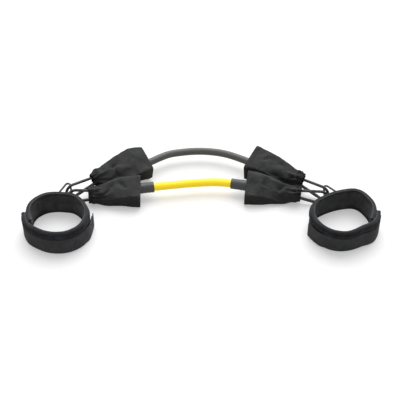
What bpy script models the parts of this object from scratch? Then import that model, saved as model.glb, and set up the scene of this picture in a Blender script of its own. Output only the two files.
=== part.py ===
"""Lateral resistance trainer: two elastic tubes between a pair of padded ankle cuffs.

Each tube end is gripped by a collar and a plug, a cord loop joins the plug to a snap hook, and a
fabric sleeve covers the joint. Both hooks of a side clip on to the triangle ring of that ankle's
cuff. Sizes are in metres. X runs along the trainer, Y away from the wearer's side, Z up.
"""
import math

import bmesh
import bpy
from mathutils import Matrix, Vector

# Elastic tubes
TUBE_DIAMETER = 0.0130
HEAVY_TUBE_DIAMETER = 0.0120
TUBE_BORE = 0.0070
TUBE_HEIGHT = 0.0190

# Collar and plug
COLLAR_LENGTH = 0.0420
COLLAR_WALL = 0.0019
COLLAR_CHAMFER = 0.0010
LIP_LENGTH = 0.0030
NECK_DIAMETER = 0.0084
HEAD_LENGTH = 0.0060
STEM_LENGTH = 0.0150
TONGUE_THICKNESS = 0.0034
TONGUE_WIDTH = 0.0110
TONGUE_SHOULDER = 0.0018
EYE_DIAMETER = 0.0060
EYE_SETBACK = 0.0080

# Cord loop
LOOP_CORD = 0.0030
LOOP_WIDTH = 0.0110
EYE_SLACK = 0.0002
BEND_SLACK = 0.0006

# Snap hook
HOOK_WIRE = 0.0045
HOOK_LENGTH = 0.0460
HOOK_NARROW_RADIUS = 0.0052
HOOK_WIDE_RADIUS = 0.0120
GATE_DIAMETER = 0.0054
GATE_PIVOT_SETBACK = 0.0080
GATE_END_SETBACK = 0.0030
HOOK_TAIL = 0.0016
NOSE_OVERRUN = 0.0016
NOSE_BEVEL = -25.0
TONGUE_PLATE = 0.0020
GATE_PIN_DIAMETER = 0.0016
GATE_SPRING_DIAMETER = 0.0024
GATE_SPRING_LENGTH = 0.0070

# Ring and its tab
RING_WIRE = 0.0032
RING_BASE = 0.0300
RING_HEIGHT = 0.0360
RING_CORNER = 0.0040
TAB_WIDTH = 0.0170
TAB_WEBBING = 0.0012
TAB_LENGTH = 0.0150

# Cuff
CUFF_HEIGHT = 0.0420
PAD_THICKNESS = 0.0060
PAD_EDGE = 0.0040
BINDING_TAPE = 0.0008
BINDING_DEPTH = 0.0040
PAD_RISE = 0.0015
OVERLAP_SPAN = 0.75
STEP_START = 0.95
STEP_SPAN = 0.8
CUFF_STATIONS = 42
STRAP_WIDTH = 0.0270
STRAP_THICKNESS = 0.0016
STRAP_BASE = 0.0012
PATCH_THICKNESS = 0.0009
PATCH_MARGIN = 0.0030
TAIL_ROOT_LENGTH = 0.0200
SLEEVE_WALL = 0.0015
SLEEVE_SQUARENESS = (5.0, 3.5, 2.6, 2.8, 3.2)

# Clearances
GAP = 0.0003
BORE_GAP = 0.0003
PIN_GAP = 0.00015

# Where each side's ring is held, and which way it points: the wall's mid-thickness at the tab
RING_LEVEL = 0.0215

BLACK = (0.030, 0.031, 0.033)
CHARCOAL = (0.050, 0.051, 0.055)
GREY = (0.20, 0.205, 0.21)
COLLAR_GREY = (0.075, 0.085, 0.105)
YELLOW = (0.95, 0.72, 0.02)
HEAVY_GREY = (0.11, 0.115, 0.12)
STEEL = (0.62, 0.63, 0.65)


def clear_scene():
    for obj in list(bpy.data.objects):
        bpy.data.objects.remove(obj, do_unlink=True)


def collection(name):
    made = bpy.data.collections.new(name)
    bpy.context.scene.collection.children.link(made)
    return made


clear_scene()
PARTS = collection("lateral_resistance_trainer")
CUTTERS = collection("cutters")
ROOT = bpy.data.objects.new("trainer", None)
PARTS.objects.link(ROOT)


def material(name, colour, roughness, metallic=0.0):
    made = bpy.data.materials.new(name)
    made.use_nodes = True
    shader = made.node_tree.nodes["Principled BSDF"]
    shader.inputs["Base Color"].default_value = (*colour, 1.0)
    shader.inputs["Roughness"].default_value = roughness
    shader.inputs["Metallic"].default_value = metallic
    return made


MATERIALS = {
    "tube_light": material("tube_light", YELLOW, 0.35),
    "tube_heavy": material("tube_heavy", HEAVY_GREY, 0.45),
    "collar": material("collar", COLLAR_GREY, 0.5),
    "plug": material("plug", BLACK, 0.45),
    "cord": material("cord", BLACK, 0.9),
    "hook": material("hook", BLACK, 0.3, 1.0),
    "steel": material("steel", STEEL, 0.25, 1.0),
    "sleeve": material("sleeve", CHARCOAL, 0.9),
    "pad": material("pad", BLACK, 0.95),
    "binding": material("binding", GREY, 0.9),
    "webbing": material("webbing", CHARCOAL, 0.85),
    "patch": material("patch", BLACK, 0.95),
}


def place(name, data, material_name, matrix=None):
    """Puts mesh or curve data in the scene as one named part under the root."""
    obj = bpy.data.objects.new(name, data)
    PARTS.objects.link(obj)
    obj.parent = ROOT
    obj.matrix_basis = matrix or Matrix.Identity(4)
    obj.data.materials.append(MATERIALS[material_name])
    return obj


def link_matrix(origin, yaw, pitch=0.0, roll=0.0):
    """A frame whose X points along yaw and pitch (degrees) and whose Z is as upright as it can be."""
    turn = (Matrix.Rotation(math.radians(yaw), 4, "Z")
            @ Matrix.Rotation(-math.radians(pitch), 4, "Y")
            @ Matrix.Rotation(math.radians(roll), 4, "X"))
    return Matrix.Translation(origin) @ turn


def aimed_matrix(origin, target):
    """A frame at origin whose X points at target and whose Y is level."""
    along = (target - origin).normalized()
    side = Vector((0, 0, 1)).cross(along).normalized()
    up = along.cross(side)
    return Matrix.Translation(origin) @ Matrix((along, side, up)).transposed().to_4x4()


def poly_curve(name, points, depth, resolution, cyclic=False):
    curve = bpy.data.curves.new(name, "CURVE")
    curve.dimensions = "3D"
    curve.bevel_depth = depth
    curve.bevel_resolution = resolution
    curve.render_resolution_u = 0
    curve.use_fill_caps = not cyclic
    spline = curve.splines.new("POLY")
    spline.points.add(len(points) - 1)
    for spot, point in zip(spline.points, points):
        spot.co = (*point, 1.0)
    spline.use_cyclic_u = cyclic
    return curve


def flat_outline(name, loops, thickness):
    """A flat solid from closed outlines in the XY plane; inner loops are holes."""
    curve = bpy.data.curves.new(name, "CURVE")
    curve.dimensions = "2D"
    curve.fill_mode = "BOTH"
    curve.extrude = thickness / 2
    curve.render_resolution_u = 0
    for loop in loops:
        spline = curve.splines.new("POLY")
        spline.points.add(len(loop) - 1)
        for spot, point in zip(spline.points, loop):
            spot.co = (point[0], point[1], 0.0, 1.0)
        spline.use_cyclic_u = True
    return curve


def as_mesh(curve_obj):
    """Replaces a curve object by a mesh of the same name with welded caps."""
    name = curve_obj.name
    depsgraph = bpy.context.evaluated_depsgraph_get()
    mesh = bpy.data.meshes.new_from_object(curve_obj.evaluated_get(depsgraph))
    work = bmesh.new()
    work.from_mesh(mesh)
    bmesh.ops.remove_doubles(work, verts=work.verts, dist=1e-6)
    bmesh.ops.recalc_face_normals(work, faces=work.faces)
    work.to_mesh(mesh)
    work.free()
    matrix = curve_obj.matrix_basis.copy()
    home = curve_obj.users_collection[0]
    hidden = curve_obj.hide_render
    display = curve_obj.display_type
    bpy.data.objects.remove(curve_obj, do_unlink=True)
    obj = bpy.data.objects.new(name, mesh)
    obj.hide_render = hidden
    obj.display_type = display
    home.objects.link(obj)
    obj.parent = ROOT
    obj.matrix_basis = matrix
    return obj


def cutter(name, data, matrix=None):
    obj = bpy.data.objects.new(name, data)
    CUTTERS.objects.link(obj)
    obj.parent = ROOT
    obj.matrix_basis = matrix or Matrix.Identity(4)
    obj.hide_render = True
    obj.display_type = "WIRE"
    return obj


def boolean(obj, tool, operation="DIFFERENCE"):
    modifier = obj.modifiers.new(tool.name, "BOOLEAN")
    modifier.operation = operation
    modifier.object = tool
    modifier.solver = "EXACT"


def cylinder_mesh(name, diameter, length, segments=16, axis="X"):
    """A cylinder centred on the origin along X, Y or Z."""
    work = bmesh.new()
    bmesh.ops.create_cone(work, cap_ends=True, segments=segments, radius1=diameter / 2,
                          radius2=diameter / 2, depth=length)
    turns = {"X": Matrix.Rotation(math.pi / 2, 4, "Y"), "Y": Matrix.Rotation(math.pi / 2, 4, "X"),
             "Z": Matrix.Identity(4)}
    bmesh.ops.transform(work, matrix=turns[axis], verts=work.verts)
    mesh = bpy.data.meshes.new(name)
    work.to_mesh(mesh)
    work.free()
    return mesh


def box_mesh(name, low, high):
    work = bmesh.new()
    bmesh.ops.create_cube(work, size=1.0)
    size = [b - a for a, b in zip(low, high)]
    middle = [(a + b) / 2 for a, b in zip(low, high)]
    bmesh.ops.scale(work, vec=size, verts=work.verts)
    bmesh.ops.translate(work, vec=middle, verts=work.verts)
    mesh = bpy.data.meshes.new(name)
    work.to_mesh(mesh)
    work.free()
    return mesh


def turned_mesh(name, profile, segments):
    """A solid of revolution about X from (x, radius) pairs that run along +X, ends closed."""
    mesh = bpy.data.meshes.new(name)
    points = [(x, 0.0, radius) for x, radius in profile]
    mesh.from_pydata(points, [(i, i + 1) for i in range(len(points) - 1)], [])
    obj = bpy.data.objects.new(name, mesh)
    PARTS.objects.link(obj)
    screw = obj.modifiers.new("turn", "SCREW")
    screw.axis = "X"
    screw.steps = segments
    screw.render_steps = segments
    screw.use_merge_vertices = True
    screw.merge_threshold = 1e-5
    depsgraph = bpy.context.evaluated_depsgraph_get()
    solid = bpy.data.meshes.new_from_object(obj.evaluated_get(depsgraph))
    bpy.data.objects.remove(obj, do_unlink=True)
    work = bmesh.new()
    work.from_mesh(solid)
    bmesh.ops.remove_doubles(work, verts=work.verts, dist=1e-6)
    bmesh.ops.recalc_face_normals(work, faces=work.faces)
    work.to_mesh(solid)
    work.free()
    return solid


def smooth(obj, angle=40):
    if obj.type == "MESH":
        obj.data.shade_smooth()
        obj.data.set_sharp_from_angle(angle=math.radians(angle))


def catmull_rom(points, samples):
    """Points on a smooth curve through the given ones, evenly spaced along it."""
    count = len(points)
    fine = []
    for i in range(count - 1):
        a, b, c, d = (points[min(max(i + k, 0), count - 1)] for k in (-1, 0, 1, 2))
        for step in range(16):
            t = step / 16
            fine.append(0.5 * ((2 * b) + (c - a) * t + (2 * a - 5 * b + 4 * c - d) * t * t
                               + (3 * b - a - 3 * c + d) * t ** 3))
    fine.append(points[-1].copy())
    return evenly_spaced(fine, samples)


def evenly_spaced(line, samples):
    lengths = [0.0]
    for a, b in zip(line, line[1:]):
        lengths.append(lengths[-1] + (b - a).length)
    out = []
    k = 0
    for i in range(samples):
        goal = lengths[-1] * i / (samples - 1)
        while k < len(line) - 2 and lengths[k + 1] < goal:
            k += 1
        span = lengths[k + 1] - lengths[k]
        out.append(line[k].lerp(line[k + 1], (goal - lengths[k]) / span))
    return out


def swept(name, path, sign, section, material_name):
    """Sweeps a closed section of (outward, up) pairs along a level path, with flat ends."""
    work = bmesh.new()
    rings = []
    for i, point in enumerate(path):
        before = path[max(i - 1, 0)]
        after = path[min(i + 1, len(path) - 1)]
        along = (after - before).normalized()
        outward = Vector((along.y, -along.x, 0.0)) * sign
        rings.append([work.verts.new(point + outward * u + Vector((0, 0, v))) for u, v in section])
    for ring, following in zip(rings, rings[1:]):
        for k in range(len(section)):
            j = (k + 1) % len(section)
            work.faces.new((ring[k], ring[j], following[j], following[k]))
    work.faces.new(rings[0])
    work.faces.new(rings[-1])
    bmesh.ops.recalc_face_normals(work, faces=work.faces)
    mesh = bpy.data.meshes.new(name)
    work.to_mesh(mesh)
    work.free()
    obj = place(name, mesh, material_name)
    smooth(obj)
    return obj


def arc(centre, radius, start, end, count):
    """Points on an arc in the XY plane; angles in degrees."""
    return [Vector((centre[0] + radius * math.cos(math.radians(start + (end - start) * i / count)),
                    centre[1] + radius * math.sin(math.radians(start + (end - start) * i / count)), 0))
            for i in range(count + 1)]


# Collar, plug and cord loop of one tube end. Local X points from the tube to the hook.

HEAD_DIAMETER = TUBE_DIAMETER


def collar(name, tube_diameter, matrix):
    outer = TUBE_DIAMETER / 2 + BORE_GAP + COLLAR_WALL
    bore = tube_diameter / 2 + BORE_GAP
    if tube_diameter < HEAD_DIAMETER:
        bore = HEAD_DIAMETER / 2 + BORE_GAP
    neck = NECK_DIAMETER / 2 + BORE_GAP
    profile = [
        (COLLAR_CHAMFER, bore), (0.0, bore + COLLAR_CHAMFER / 2), (0.0, outer - COLLAR_CHAMFER),
        (COLLAR_CHAMFER, outer), (COLLAR_LENGTH - COLLAR_CHAMFER, outer),
        (COLLAR_LENGTH, outer - COLLAR_CHAMFER), (COLLAR_LENGTH, neck),
        (COLLAR_LENGTH - LIP_LENGTH, neck), (COLLAR_LENGTH - LIP_LENGTH, bore),
        (COLLAR_CHAMFER, bore),
    ]
    obj = place(name, turned_mesh(name, profile, 20), "collar", matrix)
    smooth(obj)
    return obj


def plug(name, matrix):
    head_end = COLLAR_LENGTH - LIP_LENGTH - GAP
    head_start = head_end - HEAD_LENGTH
    stem = TUBE_BORE / 2 - BORE_GAP
    neck_end = COLLAR_LENGTH + 0.001
    profile = [
        (head_start - STEM_LENGTH, 0.0), (head_start - STEM_LENGTH, stem - 0.0008),
        (head_start - STEM_LENGTH + 0.0012, stem), (head_start, stem),
        (head_start, HEAD_DIAMETER / 2), (head_end, HEAD_DIAMETER / 2),
        (head_end, NECK_DIAMETER / 2), (neck_end, NECK_DIAMETER / 2), (neck_end, 0.0),
    ]
    obj = place(name, turned_mesh(name, profile, 16), "plug", matrix)
    tongue_end = COLLAR_LENGTH + EYE_SETBACK
    root = TONGUE_WIDTH / 2 - TONGUE_SHOULDER
    shoulder = COLLAR_LENGTH + GAP
    outline = [(shoulder, root), (head_end + GAP, root), (head_end + GAP, -root), (shoulder, -root),
               (shoulder + TONGUE_SHOULDER, -TONGUE_WIDTH / 2)]
    outline += [(p.x, p.y) for p in arc((tongue_end, 0), TONGUE_WIDTH / 2, -90, 90, 8)]
    outline += [(shoulder + TONGUE_SHOULDER, TONGUE_WIDTH / 2)]
    upright = matrix @ Matrix.Rotation(math.pi / 2, 4, "X")
    blade = cutter(name + "_blade", flat_outline(name + "_blade", [outline], TONGUE_THICKNESS), upright)
    boolean(obj, as_mesh(blade), "UNION")
    eye_matrix = matrix @ Matrix.Translation((tongue_end, 0, 0))
    eye = cutter(name + "_eye", cylinder_mesh(name + "_eye", EYE_DIAMETER, TONGUE_THICKNESS * 2, 12, "Y"),
                 eye_matrix)
    boolean(obj, eye)
    return obj


def cord_loop(name, start, end):
    """A level racetrack of cord that bears on the plug's eye and on the hook's narrow bend."""
    along = (end - start).normalized()
    start = start + along * EYE_SLACK
    end = end - along * BEND_SLACK
    length = (end - start).length
    radius = LOOP_WIDTH / 2
    points = arc((length - radius, 0), radius, -90, 90, 7) + arc((radius, 0), radius, 90, 270, 7)
    curve = poly_curve(name, points, LOOP_CORD / 2, 2, cyclic=True)
    return finished_mesh(place(name, curve, "cord", aimed_matrix(start, end)))


def finished_mesh(curve_obj):
    obj = as_mesh(curve_obj)
    smooth(obj)
    return obj


# Snap hook. Local X runs from the narrow bend's centre to the wide bend's, local Y is up in its plane.

HOOK_SLOPE = math.degrees(math.asin((HOOK_WIDE_RADIUS - HOOK_NARROW_RADIUS) / HOOK_LENGTH))
GATE_RUN = HOOK_LENGTH * math.cos(math.radians(HOOK_SLOPE))


def gate_line():
    """Start of the hook's lower straight side, and its direction towards the wide bend."""
    slope = math.radians(HOOK_SLOPE)
    start = HOOK_NARROW_RADIUS * Vector((-math.sin(slope), -math.cos(slope), 0))
    direction = Vector((math.cos(slope), -math.sin(slope), 0))
    return start, direction


def hook_frame(matrix):
    """The hook's plane is upright: its local Y is the link frame's Z."""
    return matrix @ Matrix.Rotation(math.pi / 2, 4, "X")


def gate_frame(matrix):
    start, direction = gate_line()
    pivot = start + direction * GATE_PIVOT_SETBACK
    turn = Matrix.Rotation(-math.radians(HOOK_SLOPE), 4, "Z")
    return hook_frame(matrix) @ Matrix.Translation(pivot) @ turn


def hook_body(name, matrix):
    start, direction = gate_line()
    narrow = arc((0, 0), HOOK_NARROW_RADIUS, 270 - HOOK_SLOPE, 90 + HOOK_SLOPE, 8)
    wide = arc((HOOK_LENGTH, 0), HOOK_WIDE_RADIUS, 90 + HOOK_SLOPE, -90 - HOOK_SLOPE, 12)
    tail = start + direction * (GATE_PIVOT_SETBACK + HOOK_TAIL)
    nose = start + direction * (GATE_RUN - GATE_END_SETBACK - NOSE_OVERRUN)
    points = [tail] + narrow + wide + [nose]
    curve = poly_curve(name, points, HOOK_WIRE / 2, 2)
    obj = finished_mesh(place(name, curve, "hook", hook_frame(matrix)))
    pivot = gate_frame(matrix)
    reach = math.hypot(GATE_DIAMETER / 2, GATE_DIAMETER / 2) + GAP
    for side in (-1, 1):
        low = sorted((side * TONGUE_PLATE / 2, side * HOOK_WIRE))
        mesh = box_mesh(name + "_flat", (-reach, -HOOK_WIRE, low[0]), (HOOK_WIRE * 2, HOOK_WIRE, low[1]))
        boolean(obj, cutter(name + "_flat_%d" % side, mesh, pivot))
    hole = cylinder_mesh(name + "_hole", GATE_PIN_DIAMETER + 2 * PIN_GAP, HOOK_WIRE * 2, 10, "Z")
    boolean(obj, cutter(name + "_hole", hole, pivot))
    nose_cut = pivot @ Matrix.Translation((gate_length() + GAP, 0, 0)) @ Matrix.Rotation(
        math.radians(NOSE_BEVEL), 4, "Z")
    low = (-HOOK_WIRE * 3, -HOOK_WIRE * 2, -HOOK_WIRE)
    mesh = box_mesh(name + "_nose", low, (0, HOOK_WIRE * 2, HOOK_WIRE))
    boolean(obj, cutter(name + "_nose", mesh, nose_cut))
    return obj


def gate_length():
    return GATE_RUN - GATE_PIVOT_SETBACK - GATE_END_SETBACK


def gate(name, matrix):
    frame = gate_frame(matrix)
    length = gate_length()
    back = -GATE_DIAMETER / 2
    mesh = cylinder_mesh(name, GATE_DIAMETER, length + 2 * GATE_DIAMETER, 12, "X")
    for vertex in mesh.vertices:
        vertex.co.x += (length + 2 * GATE_DIAMETER) / 2 + back
    obj = place(name, mesh, "hook", frame)
    slot_reach = GATE_DIAMETER / 2 + GAP
    slot = box_mesh(name + "_slot", (back * 2, -GATE_DIAMETER, -TONGUE_PLATE / 2 - GAP),
                    (slot_reach, GATE_DIAMETER, TONGUE_PLATE / 2 + GAP))
    boolean(obj, cutter(name + "_slot", slot, frame))
    hole = cylinder_mesh(name + "_hole", GATE_PIN_DIAMETER + 2 * PIN_GAP, GATE_DIAMETER * 2, 10, "Z")
    boolean(obj, cutter(name + "_hole", hole, frame))
    spring_end = slot_reach + GATE_SPRING_LENGTH + GAP
    bore = cylinder_mesh(name + "_bore", GATE_SPRING_DIAMETER + 2 * GAP, spring_end, 10, "X")
    boolean(obj, cutter(name + "_bore", bore, frame @ Matrix.Translation((spring_end / 2, 0, 0))))
    end = frame @ Matrix.Translation((length, 0, 0)) @ Matrix.Rotation(math.radians(NOSE_BEVEL), 4, "Z")
    mesh = box_mesh(name + "_end", (0, -GATE_DIAMETER * 2, -GATE_DIAMETER),
                    (GATE_DIAMETER * 4, GATE_DIAMETER * 2, GATE_DIAMETER))
    boolean(obj, cutter(name + "_end", mesh, end))
    smooth(obj)
    return obj


def gate_pin(name, matrix):
    obj = place(name, cylinder_mesh(name, GATE_PIN_DIAMETER, GATE_DIAMETER - 0.0004, 10, "Z"), "steel",
                gate_frame(matrix))
    smooth(obj)
    return obj


def gate_spring(name, matrix):
    middle = GATE_DIAMETER / 2 + GAP + GATE_SPRING_LENGTH / 2
    obj = place(name, cylinder_mesh(name, GATE_SPRING_DIAMETER, GATE_SPRING_LENGTH, 10, "X"), "steel",
                gate_frame(matrix) @ Matrix.Translation((middle, 0, 0)))
    smooth(obj)
    return obj


# Fabric sleeve: a shell lofted from a boxy mouth to a round gathered end.

def sleeve(name, path, widths, heights, squareness):
    """Sections are superellipses across a smooth path; the shell's wall is inside them."""
    stations = 8
    around = 20
    spots = catmull_rom(path, stations)
    work = bmesh.new()
    rings = []
    for i, spot in enumerate(spots):
        t = i / (stations - 1)
        along = (spots[min(i + 1, stations - 1)] - spots[max(i - 1, 0)]).normalized()
        side = Vector((0, 0, 1)).cross(along).normalized()
        up = along.cross(side)
        half_width = read_table(widths, t) / 2
        half_height = read_table(heights, t) / 2
        power = 2 / read_table(squareness, t)
        ring = []
        for k in range(around):
            angle = 2 * math.pi * (k + 0.5) / around
            across = math.copysign(abs(math.cos(angle)) ** power, math.cos(angle))
            above = math.copysign(abs(math.sin(angle)) ** power, math.sin(angle))
            ring.append(work.verts.new(spot + side * (half_width * across) + up * (half_height * above)))
        rings.append(ring)
    for ring, following in zip(rings, rings[1:]):
        for k in range(around):
            j = (k + 1) % around
            work.faces.new((ring[k], ring[j], following[j], following[k]))
    bmesh.ops.recalc_face_normals(work, faces=work.faces)
    mesh = bpy.data.meshes.new(name)
    work.to_mesh(mesh)
    work.free()
    obj = place(name, mesh, "sleeve")
    wall = obj.modifiers.new("wall", "SOLIDIFY")
    wall.thickness = SLEEVE_WALL
    wall.offset = -1.0
    smooth(obj)
    return obj


def read_table(values, t):
    """Evenly spaced values read at t between 0 and 1."""
    spot = t * (len(values) - 1)
    low = min(int(spot), len(values) - 2)
    return values[low] + (values[low + 1] - values[low]) * (spot - low)


# Cuff. The pad's mid-line is a closed outline whose two ends overlap at the outer side. A place on
# it is counted in outline points; sign is -1 where the outline runs clockwise seen from above.

BINDING_HALF = PAD_EDGE / 2 + GAP + BINDING_TAPE
LAYER_PITCH = 2 * BINDING_HALF + GAP
WALL_FACE = max(PAD_THICKNESS / 2, BINDING_HALF)
STRAP_OFFSET = WALL_FACE + GAP + STRAP_THICKNESS / 2


def ease(x):
    x = min(max(x, 0.0), 1.0)
    return x * x * (3 - 2 * x)


def outline_spot(outline, sign, t):
    """A point of the smooth closed outline, and the direction out of the cuff there."""
    k = math.floor(t)
    f = t - k
    a, b, c, d = (Vector((*outline[(k + m) % len(outline)], 0)) for m in (-1, 0, 1, 2))
    point = 0.5 * ((2 * b) + (c - a) * f + (2 * a - 5 * b + 4 * c - d) * f * f
                   + (3 * b - a - 3 * c + d) * f ** 3)
    slope = (c - a) + 2 * (2 * a - 5 * b + 4 * c - d) * f + 3 * (3 * b - a - 3 * c + d) * f * f
    return point, Vector((slope.y, -slope.x, 0)).normalized() * sign


def layer_shift(t, count):
    """The inner layer lies half a pitch in at the pad's start, the outer one half a pitch out."""
    half = LAYER_PITCH / 2
    if t < OVERLAP_SPAN + 1:
        return -half * ease(OVERLAP_SPAN + 1 - t)
    if t > count - 1:
        return half * ease(t - count + 1)
    return 0.0


def outer_shift(t, count):
    """The outermost layer's mid-line, seen from outside, with a soft step at the pad's outer end."""
    t %= count
    if t > STEP_START:
        blend = ease((t - STEP_START) / STEP_SPAN)
        return layer_shift(t, count) * blend + LAYER_PITCH / 2 * (1 - blend)
    return layer_shift(t + count, count)


def cuff_line(outline, sign):
    """The pad's mid-line from its inner end, once round and on to its outer end."""
    count = len(outline)
    fine = []
    steps = int((count + OVERLAP_SPAN) * 12)
    for i in range(steps + 1):
        t = (count + OVERLAP_SPAN) * i / steps
        point, outward = outline_spot(outline, sign, t)
        fine.append(point + outward * layer_shift(t, count))
    return evenly_spaced(fine, CUFF_STATIONS)


def outer_line(outline, sign, start, end, offset, samples):
    """A line outside the pad; offset gives its distance from the outermost layer at each place."""
    fine = []
    steps = int(abs(end - start) * 12) + 8
    for i in range(steps + 1):
        t = start + (end - start) * i / steps
        point, outward = outline_spot(outline, sign, t)
        fine.append(point + outward * (outer_shift(t, len(outline)) + offset(t)))
    return evenly_spaced(fine, samples)


def band(name, line, sign, inner, outer, low, high, material_name):
    """Webbing of even thickness standing on its edge along a line."""
    section = [(inner, low), (outer, low), (outer, high), (inner, high)]
    return swept(name, line, sign, section, material_name)


def cuff(name, sign, outline):
    line = cuff_line(outline, sign)
    pad_low = BINDING_TAPE + GAP
    pad_high = CUFF_HEIGHT - BINDING_TAPE - GAP
    edge = PAD_EDGE / 2
    full = PAD_THICKNESS / 2
    low_side = [(edge, pad_low), (edge, pad_low + BINDING_DEPTH), (full, pad_low + BINDING_DEPTH + PAD_RISE)]
    right_side = low_side + [(u, CUFF_HEIGHT - v) for u, v in reversed(low_side)]
    section = right_side + [(-u, v) for u, v in reversed(right_side)]
    swept(name + "_cuff_pad", line, sign, section, "pad")
    inner = edge + GAP
    outer = BINDING_HALF
    bottom = [(-outer, 0), (outer, 0), (outer, BINDING_DEPTH), (inner, BINDING_DEPTH), (inner, BINDING_TAPE),
              (-inner, BINDING_TAPE), (-inner, BINDING_DEPTH), (-outer, BINDING_DEPTH)]
    top = [(u, CUFF_HEIGHT - v) for u, v in bottom]
    swept(name + "_bottom_binding", line, sign, bottom, "binding")
    swept(name + "_top_binding", line, sign, top, "binding")


def strap(name, sign, outline, places, lift):
    """The closing strap, its free tail, the hook patch on the tail and the loop patch under it."""
    sewn, root, tip = places
    half = STRAP_THICKNESS / 2
    low = STRAP_BASE
    high = STRAP_BASE + STRAP_WIDTH
    line = outer_line(outline, sign, root, sewn, lambda t: STRAP_OFFSET, 36)
    band(name + "_strap", line, sign, -half, half, low, high, "webbing")
    tail = trimmed(outer_line(outline, sign, tip, root, tail_offset(root, tip, lift), 60), 0.0, GAP)
    band(name + "_strap_tail", evenly_spaced(tail, 12), sign, -half, half, low, high, "webbing")
    patch_out = -half - GAP
    patch_line = evenly_spaced(trimmed(tail, PATCH_MARGIN, TAIL_ROOT_LENGTH), 10)
    band(name + "_hook_patch", patch_line, sign, patch_out - PATCH_THICKNESS, patch_out,
         low + PATCH_MARGIN, high - PATCH_MARGIN, "patch")
    under = trimmed(outer_line(outline, sign, tip, root, lambda t: 0.0, 60), PATCH_MARGIN, TAIL_ROOT_LENGTH)
    loop_in = PAD_THICKNESS / 2 + GAP
    band(name + "_loop_patch", evenly_spaced(under, 10), sign, loop_in, loop_in + PATCH_THICKNESS,
         BINDING_TAPE + GAP + BINDING_DEPTH + PAD_RISE, high - PATCH_MARGIN, "patch")
    return tail[-1], outward_at(tail, sign)


def tail_offset(root, tip, lift):
    """The tail leaves the cuff towards its tip."""
    return lambda t: STRAP_OFFSET + lift * ease((root - t) / (root - tip) * 1.25)


def outward_at(line, sign):
    along = (line[-1] - line[-2]).normalized()
    return Vector((along.y, -along.x, 0)) * sign


def trimmed(line, from_start, from_end):
    """A line with a length cut off each end."""
    dense = evenly_spaced(line, 400)
    length = sum((b - a).length for a, b in zip(dense, dense[1:]))
    first = round(399 * from_start / length)
    last = 399 - max(round(399 * from_end / length), 1 if from_end else 0)
    return dense[first:last + 1]


# Ring tab and ring. Local Y points out from the cuff's wall, Z up, the origin on the ring's base bar.

RING_STANDOFF = GAP + TAB_WEBBING + GAP + RING_WIRE / 2


def ring_tab(name, matrix):
    """Webbing folded round the ring's base bar and sewn to the wall below it."""
    eye = RING_WIRE / 2 + GAP
    outer = eye + TAB_WEBBING
    outline = [(2 * TAB_WEBBING - outer, -TAB_LENGTH), (2 * TAB_WEBBING - outer, -outer)]
    outline += [(p.x, p.y) for p in arc((0, 0), outer, -70, 180, 12)]
    outline += [(-outer, -TAB_LENGTH)]
    hole = [(p.x, p.y) for p in arc((0, 0), eye, 0, 330, 11)]
    curve = flat_outline(name, [outline, hole], TAB_WIDTH)
    turn = Matrix(((0, 0, 1, 0), (1, 0, 0, 0), (0, 1, 0, 0), (0, 0, 0, 1)))
    return finished_mesh(place(name, curve, "webbing", matrix @ turn))


def ring_points():
    """The triangle's wire centre-line in the XY plane, its corners rounded."""
    half = RING_BASE / 2
    corners = [Vector((-half, 0, 0)), Vector((half, 0, 0)), Vector((0, RING_HEIGHT, 0))]
    points = []
    for i, corner in enumerate(corners):
        to_last = (corners[i - 1] - corner).normalized()
        to_next = (corners[(i + 1) % 3] - corner).normalized()
        opening = to_last.angle(to_next)
        reach = RING_CORNER / math.tan(opening / 2)
        centre = corner + (to_last + to_next).normalized() * (RING_CORNER / math.sin(opening / 2))
        first = (corner + to_last * reach - centre).normalized()
        last = (corner + to_next * reach - centre).normalized()
        for step in range(6):
            points.append(centre + first.slerp(last, step / 5) * RING_CORNER)
    return points


def ring(name, frame):
    curve = poly_curve(name, ring_points(), RING_WIRE / 2, 2, cyclic=True)
    return finished_mesh(place(name, curve, "steel", frame))


def leg_point(frame, sign, fraction):
    """A point on the ring leg towards the tubes, from the apex (0) to the base corner (1)."""
    return frame @ Vector((-sign * RING_BASE / 2 * fraction, RING_HEIGHT * (1 - fraction), 0))


# The two sides. Outlines are the pad's mid-line, in the order that the pad is wrapped: from the
# inner end at the outer side, along the back wall, and round the front to the outer end.

LEFT_OUTLINE = [
    (-0.2555, -0.0950), (-0.2630, -0.0700), (-0.2570, -0.0450), (-0.2440, -0.0325), (-0.2295, -0.0285),
    (-0.2140, -0.0290), (-0.1960, -0.0335), (-0.1805, -0.0500), (-0.1720, -0.0735), (-0.1765, -0.1000),
    (-0.1920, -0.1150), (-0.2110, -0.1195), (-0.2350, -0.1145),
]
RIGHT_OUTLINE = [
    (0.2590, -0.0930), (0.2660, -0.0660), (0.2590, -0.0400), (0.2490, -0.0250), (0.2350, -0.0205),
    (0.2115, -0.0260), (0.1900, -0.0370), (0.1745, -0.0510), (0.1685, -0.0720), (0.1730, -0.0920),
    (0.1855, -0.1095), (0.2015, -0.1185), (0.2200, -0.1190), (0.2400, -0.1090),
]
# Seat is the outline point that carries the ring tab. Legs are where the two hooks thread the
# ring. Strap is where it is sewn on, where its free tail starts and where the tail ends.
SIDES = {
    "left": {"sign": -1, "outline": LEFT_OUTLINE, "seat": 5, "ring_tilt": 15.0,
             "legs": {"light": 0.70, "heavy": 0.42}, "strap": (3.8, -3.9, -5.3), "lift": 0.0060},
    "right": {"sign": 1, "outline": RIGHT_OUTLINE, "seat": 5, "ring_tilt": 2.0,
              "legs": {"light": 0.74, "heavy": 0.42}, "strap": (3.6, -3.7, -5.4), "lift": 0.0030},
}

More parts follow.
